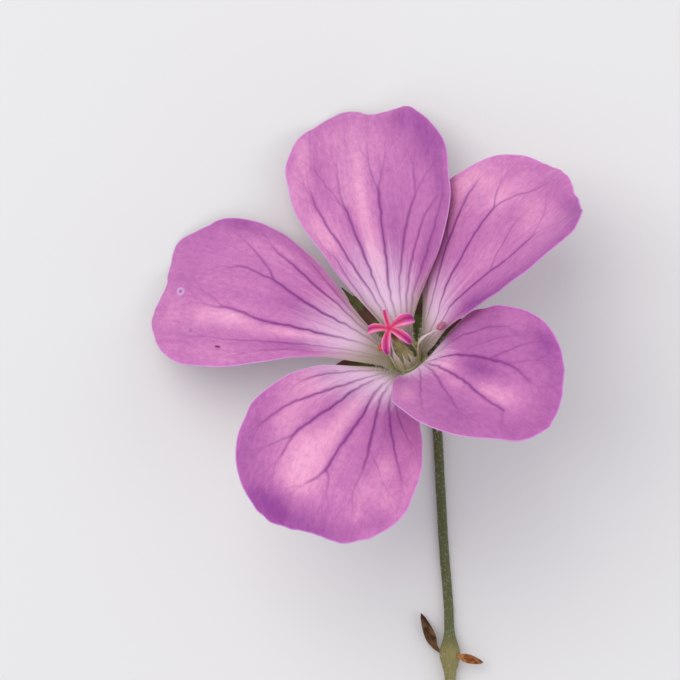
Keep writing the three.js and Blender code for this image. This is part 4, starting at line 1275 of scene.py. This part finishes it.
def stalkSkin(jointAt):
    # pale green bowl, maroon just under the bloom, dark olive along the stalk and yellow green at the
    # joint, with long streaks; the cut end is pale, and the nectaries shine
    s = Shader("stalkSkin")
    around, run, _ = s.parts(s.map("skin"))
    place = s.place()
    streak = s.noise(s.vector(around * 3.2, run * 0.35), 1.5, 3, 0.6)
    mottle = s.noise(place, 700, 3)
    grain = s.noise(place, 5200, 2)
    colour = s.mix(s.ramp(run + (mottle - 0.5) * 5, 3.0, 11.0), stalk["maroon"], stalk["olive"])
    colour = s.mix(s.ramp(run + (mottle - 0.5) * 0.8, 1.3, 2.4, 1, 0), colour, stalk["cup"])
    colour = s.mix(s.ramp(run, jointAt - 9, jointAt - 1) * 0.55, colour, stalk["green"])
    swelling = s.ramp(run + (mottle - 0.5) * 2, jointAt - 2.2, jointAt - 0.4)
    colour = s.mix(swelling * 0.8, colour, stalk["swelling"])
    colour = s.mix(s.ramp(streak, 0.5, 0.75) * 0.45, colour, stalk["maroon"])
    colour = s.mix(s.ramp(streak, 0.48, 0.25) * 0.3, colour, stalk["streak"])
    colour = s.mix(s.field("ends"), colour, stalk["cut"])
    gland = s.mix(mottle, stalk["nectary"], stalk["nectaryShade"])
    colour = s.mix(s.field("gland"), colour, gland)
    normal = s.bump(streak * 2 + grain, 0.03, 0.7)
    return s.finish(colour, 0.55 + grain * 0.15 - s.field("gland") * 0.3, normal,
                    letsLightIn(0.1, (0.8, 1.0, 0.3), 0.3) | {"Specular IOR Level": 0.4})


shape, fields, maps, curve, reach, jointAt = stalkShape()
addPiece("stalk", shape, stalkSkin(jointAt), ["stalk"], fields, maps)
addPiece("stalk_hairs", stalkHairs(curve, reach), hair)
print("stalk made")


# withered bracts at the joint

bractLooks = {
    "columns": 28, "rows": 60, "rootShare": 0.22,  # the root bends down into the joint
    "thickness": 0.14, "rimThickness": 0.05, "crumple": 0.1,
}
bracts = {
    "bract_left": {
        "foot": (2.55, -26.1, 0.75), "heading": 112, "length": 3.1, "halfWidth": 0.6, "rise": (8, -14),
        "root": (0.5, -0.15, 0.05), "light": rgb(118, 84, 52), "dark": rgb(60, 38, 26),
    },
    "bract_right": {
        "foot": (5.0, -27.1, 1.72), "heading": -16, "length": 2.2, "halfWidth": 0.5, "rise": (10, -38),
        "root": (-0.12, 0, -0.3), "light": rgb(196, 136, 78), "dark": rgb(120, 62, 34),
    },
}


def bractShape(bract, index):
    # a small blade that narrows to its tip, curled across and crumpled by soft noise
    looks = bractLooks
    across, along = bladeGrid(looks["columns"], looks["rows"])
    t = along * (1 + looks["rootShare"]) - looks["rootShare"]
    grown = np.maximum(t, 0)
    halfWidth = bract["halfWidth"] * (0.45 + 0.55 * np.sin(np.pi * grown ** 0.8)) * (1 - 0.5 * grown)
    halfWidth = halfWidth * np.sqrt(np.clip((1.0 - t) / 0.12, 0, 1) * 0.96 + 0.04) * ease(t, -0.34, -0.02)
    rng = np.random.default_rng(90 + index)
    out, up, slope = middleLine(bract["length"], bract["rise"], 1, t)
    crumple = softNoise(across * 1.7 + 5, t * 6, rng) + 0.5 * softNoise(across * 4 + 5, t * 15 + 5, rng)
    crumple = looks["crumple"] * crumple * ease(t, 0, 0.2)
    middle, square = curvedBlade(out, up, slope, across * halfWidth, 0.5 + 0.7 * grown, 0 * t, crumple)
    thick = looks["thickness"] + (looks["rimThickness"] - looks["thickness"]) * np.abs(across) ** 3
    into = np.clip(-t / looks["rootShare"], 0, 1)[..., None] ** 2 * np.array(bract["root"])
    front, back = (turned(middle + square * half[..., None], upwards, bract["heading"])
                   + overFloor(*bract["foot"]) + into for half in (thick / 2, -thick / 2))
    maps = {"blade": np.stack([bothFaces(across), bothFaces(t)], -1)}
    return bladeMesh(front, back), {"crease": bothFaces(crumple * 5)}, maps


def bractSkin(bract, name):
    # dry brown with lengthwise nerves, darker at the tip, with painted shade in the sunk creases and a
    # painted highlight on the raised crumples
    s = Shader(name + "Skin")
    across, along, _ = s.parts(s.map("blade"))
    nerves = s.noise(s.vector(across * 7, along * 2), 1.3, 3)
    # painted shade where the crumple sinks and painted highlight where it rises
    share = s.ramp(nerves + s.field("crease") * -0.5 + along * 0.25, 0.35, 0.8)
    colour = s.mix(share, bract["light"], bract["dark"])
    return s.finish(colour, 0.7 + nerves * 0.2, s.bump(nerves, 0.08, 0.8), {"Specular IOR Level": 0.2})


for index, (name, bract) in enumerate(bracts.items()):
    shape, fields, maps = bractShape(bract, index)
    addPiece(name, shape, bractSkin(bract, name), [name], fields, maps)
print("bracts made")


# pistil: five-lobed hairy ovary and the style column

pistil = {
    "foot": -0.55, "top": 5.75, "ovaryRadius": 0.76, "columnRadius": 0.3, "ovaryHeight": 0.65,
    "ovarySpread": 0.95, "taperEnd": 5.62, "rings": 120, "sides": 40,
    "hairs": 380, "hairRadius": 0.012, "hairLength": (0.25, 0.55),
    "ovary": rgb(240, 234, 176), "column": rgb(190, 190, 116), "neck": rgb(104, 58, 26),
    "streak": rgb(104, 108, 60),
}


def pistilShape():
    # a bell curve swells the column into the ovary, whose five lobes fade upwards into fine furrows
    height = np.linspace(pistil["foot"], pistil["top"], pistil["rings"])[:, None]
    angle = fullTurn(pistil["sides"])[None]
    swelling = bell(height, pistil["ovaryHeight"], pistil["ovarySpread"])
    taper = pistil["columnRadius"] * (1 - 0.25 * np.clip(height / pistil["taperEnd"], 0, 1))
    radius = taper + (pistil["ovaryRadius"] - pistil["columnRadius"]) * swelling
    radius = radius * (1 + (0.035 + 0.07 * swelling) * np.cos(5 * angle) + 0.018 * np.cos(15 * angle))
    curve = height * np.array([0, 0, 1])
    points, faces = tubeMesh(curve, radius * np.cos(angle), radius * np.sin(angle), (1, 0, 0))
    rise = np.concatenate([np.repeat(height[:, 0], pistil["sides"]), [pistil["foot"], pistil["top"]]])
    around = np.concatenate([np.tile(angle[0], pistil["rings"]), [0, 0]])
    return (fromBloom(points), faces), {"skin": np.stack([around, rise], -1)}


def pistilHairs():
    # white hairs that stand up and out from the ovary and thin out up the column
    rng = np.random.default_rng(21)
    height = 0.1 + 2.3 * rng.uniform(0, 1, pistil["hairs"]) ** 1.3
    angle = rng.uniform(0, 2 * np.pi, pistil["hairs"])
    swelling = bell(height, pistil["ovaryHeight"], pistil["ovarySpread"])
    radius = pistil["columnRadius"] * 0.9 + (pistil["ovaryRadius"] - pistil["columnRadius"]) * swelling
    outwards = np.stack([np.cos(angle), np.sin(angle), np.zeros_like(angle)], -1)
    roots = outwards * radius[:, None] + np.array([0, 0, 1]) * height[:, None]
    directions = outwards + np.array([0, 0, 1.3]) + rng.normal(0, 0.25, (len(angle), 3))
    lengths = rng.uniform(*pistil["hairLength"], len(angle))
    droop = np.array([0, 0, -0.2])
    return hairMesh(fromBloom(roots), leaned(directions), lengths, pistil["hairRadius"], droop)


def pistilSkin():
    # yellow green ovary, greener column, brown towards the stigma, with lengthwise streaks
    s = Shader("pistilSkin")
    around, rise, _ = s.parts(s.map("skin"))
    streak = s.noise(s.vector(around * 5, rise * 1.1), 1.4, 3, 0.6)
    colour = s.mix(s.ramp(rise, 0.6, 2.4), pistil["ovary"], pistil["column"])
    colour = s.mix(s.ramp(streak, 0.45, 0.7) * 0.35, colour, pistil["streak"])
    colour = s.mix(s.ramp(rise + (streak - 0.5) * 1.6, 3.1, 4.9), colour, pistil["neck"])
    return s.finish(colour, 0.5 + streak * 0.2, s.bump(streak, 0.05, 0.7),
                    letsLightIn(0.4, (0.8, 1.0, 0.4), 0.5))


shape, maps = pistilShape()
addPiece("pistil", shape, pistilSkin(), ["pistil"], maps=maps)
addPiece("pistil_hairs", pistilHairs(), hair)


# stigma: five tongues that curl back

stigma = {
    "start": 5.62,
    # azimuth, reach, widest half width, where the rounding of the tip starts, the curl, purple
    "tongues": (
        (24, 1.12, 0.64, 0.62, 1.25, 0.9), (106, 1.0, 0.25, 0.3, 0.7, 0), (182, 1.0, 0.45, 0.62, 1.0, 0.15),
        (266, 1.12, 0.44, 0.62, 1.0, 0.3), (325, 1.16, 0.42, 0.62, 1.0, 0.35),
    ),
    "path": ((0.02, 0.0), (0.5, 0.62), (1.25, 0.82), (1.85, 0.5), (2.06, -0.02)),
    "footWidth": 0.24, "thickness": 0.22, "groove": 0.17, "rings": 72, "sides": 32,
    "crimson": rgb(220, 62, 116), "magenta": rgb(204, 48, 146), "rim": rgb(246, 160, 198),
    "lane": rgb(164, 10, 88), "purple": rgb(164, 62, 166),
}


def tongueShape(azimuth, longer, halfWidth, rounding, curl, purple, rng):
    # a flattened tube along the curled path: widening to the tip, round-ended, grooved along its top
    path = [(reach * longer, 0, stigma["start"] + rise * (1 if rise > 0 else curl))
            for reach, rise in stigma["path"]]
    curve = smoothCurve(path, stigma["rings"])
    s = np.linspace(0, 1, stigma["rings"])[:, None]
    angle = fullTurn(stigma["sides"])[None]
    wide = stigma["footWidth"] + (halfWidth - stigma["footWidth"]) * ease(s, 0.12, 0.62)
    tip = np.sqrt(1 - np.clip((s - rounding) / (1 - rounding), 0, 1) ** 2.4) * 0.96 + 0.04
    across = wide * tip * np.cos(angle)
    high = stigma["thickness"] * (0.85 + 0.25 * np.sin(np.pi * s)) * (0.35 + 0.65 * tip)
    groove = stigma["groove"] * bell(across, 0, 0.42 * wide) * ease(s, 0.05, 0.3) * tip
    top = np.maximum(np.sin(angle), 0)
    grain = 0.02 * softNoise(angle * 3.2 + 9, s * 26, rng) * tip
    points, faces = tubeMesh(curve, across, (high + grain) * np.sin(angle) - groove * top, (0, 1, 0))
    lane, upper, share = (np.concatenate([(values + 0 * across).ravel(), atHubs]) for values, atHubs in (
        (np.abs(np.cos(angle)), [0, 0]), (top, [0, 0]), (s, [0, 1]),
    ))
    fields = {"lane": lane, "upper": upper, "share": share, "purple": purple * share ** 3}
    return (fromBloom(points, azimuth), faces), fields


def stigmaShape():
    rng = np.random.default_rng(33)
    shapes, fields = zip(*[tongueShape(*tongue, rng) for tongue in stigma["tongues"]])
    return joined(shapes), {title: np.concatenate([own[title] for own in fields]) for title in fields[0]}


def stigmaSkin():
    # crimson at the middle, magenta towards the tips and in the grooves, pink along the rims, velvety
    s = Shader("stigmaSkin")
    place = s.place()
    grain = s.noise(place, 6500, 2)
    mottle = s.noise(place, 1500, 2)
    outer = s.ramp(s.field("share") + (mottle - 0.5) * 0.3, 0.35, 0.85)
    colour = s.mix(outer, stigma["crimson"], stigma["magenta"])
    colour = s.mix(s.field("purple") * (0.6 + mottle * 0.8), colour, stigma["purple"])
    rim = s.ramp(s.field("lane"), 0.45, 0.88) * 0.75
    colour = s.mix(rim + (grain - 0.5) * 0.35, colour, stigma["rim"])
    lane = s.ramp(s.field("lane"), 0.42, 0.05) * s.field("upper") * s.ramp(s.field("share"), 0.1, 0.5)
    colour = s.mix(lane * 0.95, colour, stigma["lane"])
    return s.finish(colour, 0.45 + grain * 0.25, s.bump(grain, 0.04, 0.8),
                    letsLightIn(0.25, (1.0, 0.3, 0.5), 0.3) | {"Sheen Weight": 0.15, "Sheen Roughness": 0.4})


shape, fields = stigmaShape()
addPiece("stigma", shape, stigmaSkin(), ["stigma"], fields)
print("pistil and stigma made")


# filaments and the two anthers that are left

stamens = {
    "ring": 1.14, "low": -0.3, "heights": (4.6, 3.5, 4.4, 3.4, 4.5, 3.5, 3.95, 4.6, 2.2, 1.9),
    "lean": 0.62, "knee": 0.66, "footWidth": 0.47, "tipWidth": 0.045,
    "footThickness": 0.13, "tipThickness": 0.04, "rings": 70, "sides": 14,
    "collarHeight": -0.05, "collarOval": (0.17, 0.26), "collarRings": 72, "collarSides": 12,
    "hairs": 30, "hairRows": (2, 34), "hairRadius": 0.011, "hairLength": (0.25, 0.5),  # on each filament
    "antherLong": 0.46, "antherThick": 0.31, "antherAbove": 0.53,  # its middle above the filament's end
    "splayed": {  # place in the ring: node, azimuth, reach, turn
        0: ("anther_right", 5, 4.5, 40), 6: ("anther_left", 224, 1.4, -10),
    },
    "white": rgb(226, 216, 208), "pink": rgb(208, 168, 186), "green": rgb(208, 200, 150),
    "antherColours": {  # light, dark
        "anther_right": (rgb(214, 146, 170), rgb(140, 58, 84)),
        "anther_left": (rgb(222, 122, 96), rgb(160, 54, 54)),
    },
}


def filamentPath(place):
    # from the ring up to the knee, then leaning in to the column or out to the anther
    azimuth = 360 / len(stamens["heights"]) * place
    ring, height = stamens["ring"], stamens["heights"][place]
    reach, swing = stamens["lean"], 0
    if place in stamens["splayed"]:
        _, outer, reach, _ = stamens["splayed"][place]
        swing = outer - azimuth
        height += 0.35
    foot = np.array([ring, 0, stamens["low"]])
    knee = np.array([ring + 0.28 * (reach - ring), 0, height * stamens["knee"]])
    knee, tip = turned(knee, upwards, swing * 0.3), turned(np.array([reach, 0, height]), upwards, swing)
    return turned(smoothCurve([foot, knee, tip], stamens["rings"]), upwards, azimuth), azimuth


def filamentShape():
    # flat and broad at the foot, thin and round towards the tip; all ten share one low collar
    looks = stamens
    rng = np.random.default_rng(51)
    parts, shares, roots, directions = [], [], [], []
    angle = fullTurn(looks["sides"])[None]
    s = np.linspace(0, 1, looks["rings"])[:, None]
    wide = looks["tipWidth"] + (looks["footWidth"] - looks["tipWidth"]) * np.exp(-((s / 0.62) ** 4.5))
    thin = looks["tipThickness"] + (looks["footThickness"] - looks["tipThickness"]) * bell(s, 0, 0.3)
    close = np.sqrt(np.clip((1 - s) / 0.05, 0, 1)) * 0.95 + 0.05
    for place in range(len(looks["heights"])):
        curve, azimuth = filamentPath(place)
        sideways = turned(np.array([0.0, 1.0, 0.0]), upwards, azimuth)
        points, faces = tubeMesh(curve, wide * close * np.cos(angle), thin * close * np.sin(angle), sideways)
        parts.append((fromBloom(points), faces))
        shares.append(np.concatenate([np.repeat(s[:, 0], looks["sides"]), [0, 1]]))
        row = rng.integers(*looks["hairRows"], looks["hairs"])
        edge = rng.choice([-1.0, 1.0], row.size)[:, None]
        roots.append(curve[row] + sideways * edge * wide[row] * 0.95)
        directions.append(sideways * edge + np.array([0, 0, 0.7]) + rng.normal(0, 0.3, (row.size, 3)))
    points, faces = collarMesh()
    parts.append((fromBloom(points), faces))
    shares.append(np.zeros(len(points)))
    roots, directions = fromBloom(np.concatenate(roots)), leaned(np.concatenate(directions))
    lengths = rng.uniform(*looks["hairLength"], len(roots))
    hairs = hairMesh(roots, directions, lengths, looks["hairRadius"], np.array([0, 0, -0.2]))
    return joined(parts), {"share": np.concatenate(shares)}, hairs


def collarMesh():
    # a ring with an oval section, closed both ways
    turn, section = fullTurn(stamens["collarRings"])[:, None], fullTurn(stamens["collarSides"])[None]
    deep, high = stamens["collarOval"]
    reach = stamens["ring"] + deep * np.cos(section)
    height = stamens["collarHeight"] + high * np.sin(section) + 0 * turn
    points = np.stack([reach * np.cos(turn), reach * np.sin(turn), height], -1)
    faces = gridTriangles(turn.size, section.size, closed=True) % height.size
    return points.reshape(-1, 3), faces


def antherShape(place, azimuth, reach, turn, rng):
    # a long ball with a furrow along its top and a crust of pollen grains
    theta, phi = ballAngles(40, 56)
    crust = 1 + 0.05 * softNoise(phi * 5 + 9, theta * 8, rng)
    crust = crust + 0.035 * softNoise(phi * 10 + 9, theta * 17, rng)
    furrow = 1 - 0.3 * bell(phi, np.pi / 2, 0.32) * np.sin(theta)
    long, girth = stamens["antherLong"], stamens["antherThick"] * np.sin(theta) * crust * furrow
    ball = np.stack([long * np.cos(theta) * crust, girth * np.cos(phi) * 1.05, girth * np.sin(phi)], -1)
    ball = np.concatenate([ball.reshape(-1, 3), [[long, 0, 0], [-long, 0, 0]]])
    height = stamens["heights"][place] + stamens["antherAbove"]
    ball = turned(ball, upwards, turn) + np.array([reach, 0, height])
    crease = np.concatenate([(1 - furrow).ravel(), [0, 0]])
    return (fromBloom(ball, azimuth), cappedRings(*theta.shape)), {"crease": crease}


def filamentSkin():
    # greenish at the foot, white above and pink towards the tip
    s = Shader("filamentSkin")
    place = s.place()
    mottle = s.noise(place, 1800, 2)
    share = s.field("share") + (mottle - 0.5) * 0.25
    colour = s.mix(s.ramp(share, 0.1, 0.65), stamens["green"], stamens["white"])
    colour = s.mix(s.ramp(share, 0.8, 1.1), colour, stamens["pink"])
    return s.finish(colour, 0.4 + mottle * 0.2, s.bump(mottle, 0.02, 0.5),
                    letsLightIn(0.4, (1.0, 0.8, 0.8), 0.3))


def antherSkin(name, light, dark):
    # a dusty crust of grains, lighter on the grains, with painted shade darkening the furrow
    s = Shader(name + "Skin")
    place = s.place()
    grains = s.cells(place, 14000, "F1")
    mottle = s.noise(place, 2400, 2)
    colour = s.mix(s.ramp(grains, 0.2, 0.7) * 0.7 + (mottle - 0.5) * 0.6, light, dark)
    # painted shade in the furrow
    colour = s.mix(s.field("crease") * 1.6, colour, dark)
    return s.finish(colour, 0.75 + mottle * 0.15, s.bump(grains, -0.03, 0.8), {"Specular IOR Level": 0.2})


shape, fields, hairs = filamentShape()
addPiece("filaments", shape, filamentSkin(), ["filaments"], fields)
addPiece("filament_hairs", hairs, hair)
for place, (node, azimuth, reach, turn) in stamens["splayed"].items():
    shape, fields = antherShape(place, azimuth, reach, turn, np.random.default_rng(60 + place))
    addPiece(node, shape, antherSkin(node, *stamens["antherColours"][node]), [node], fields)
print("stamens made")


# floor and light

studio = {
    "floorSize": 1.6, "floor": rgb(226, 224, 222), "sky": rgb(236, 240, 248), "skyStrength": 0.72,
    "lamps": (  # name, place and size in metres, power, colour
        ("keyLamp", (-0.22, 0.24, 0.55), 0.6, 2.2, (1.0, 0.98, 0.95)),
        ("fillLamp", (0.45, -0.25, 0.4), 0.6, 0.8, (0.95, 0.97, 1.0)),
    ),
}


def addStudio():
    edge = studio["floorSize"] / 2
    corners = [(-edge, -edge, 0), (edge, -edge, 0), (edge, edge, 0), (-edge, edge, 0)]
    mesh = bpy.data.meshes.new("floor")
    mesh.from_pydata(corners, [], [(0, 1, 2, 3)])
    s = Shader("floorPaint")
    roughness = 0.8 + s.noise(s.place(), 60, 2) * 0.1
    normal = s.bump(s.noise(s.place(), 900, 2), 0.01, 0.1)
    mesh.materials.append(s.finish(studio["floor"], roughness, normal, {"Specular IOR Level": 0.2}))
    floor = bpy.data.objects.new("floor", mesh)
    bpy.context.scene.collection.objects.link(floor)
    for name, place, size, power, colour in studio["lamps"]:
        lamp = bpy.data.lights.new(name, "AREA")
        lamp.shape = "DISK"
        lamp.size = size
        lamp.energy = power
        lamp.color = colour
        holder = bpy.data.objects.new(name, lamp)
        holder.location = place
        away = np.array(place) / np.linalg.norm(place)
        holder.rotation_euler = (np.arccos(away[2]), 0, np.arctan2(away[1], away[0]) + np.pi / 2)
        bpy.context.scene.collection.objects.link(holder)
    world = bpy.data.worlds.new("sky")
    world.use_nodes = True
    sky = world.node_tree.nodes["Background"]
    sky.inputs["Color"].default_value = studio["sky"]
    sky.inputs["Strength"].default_value = studio["skyStrength"]
    bpy.context.scene.world = world
    bpy.context.scene.view_settings.view_transform = "Standard"


addStudio()
print("floor and lamps placed")
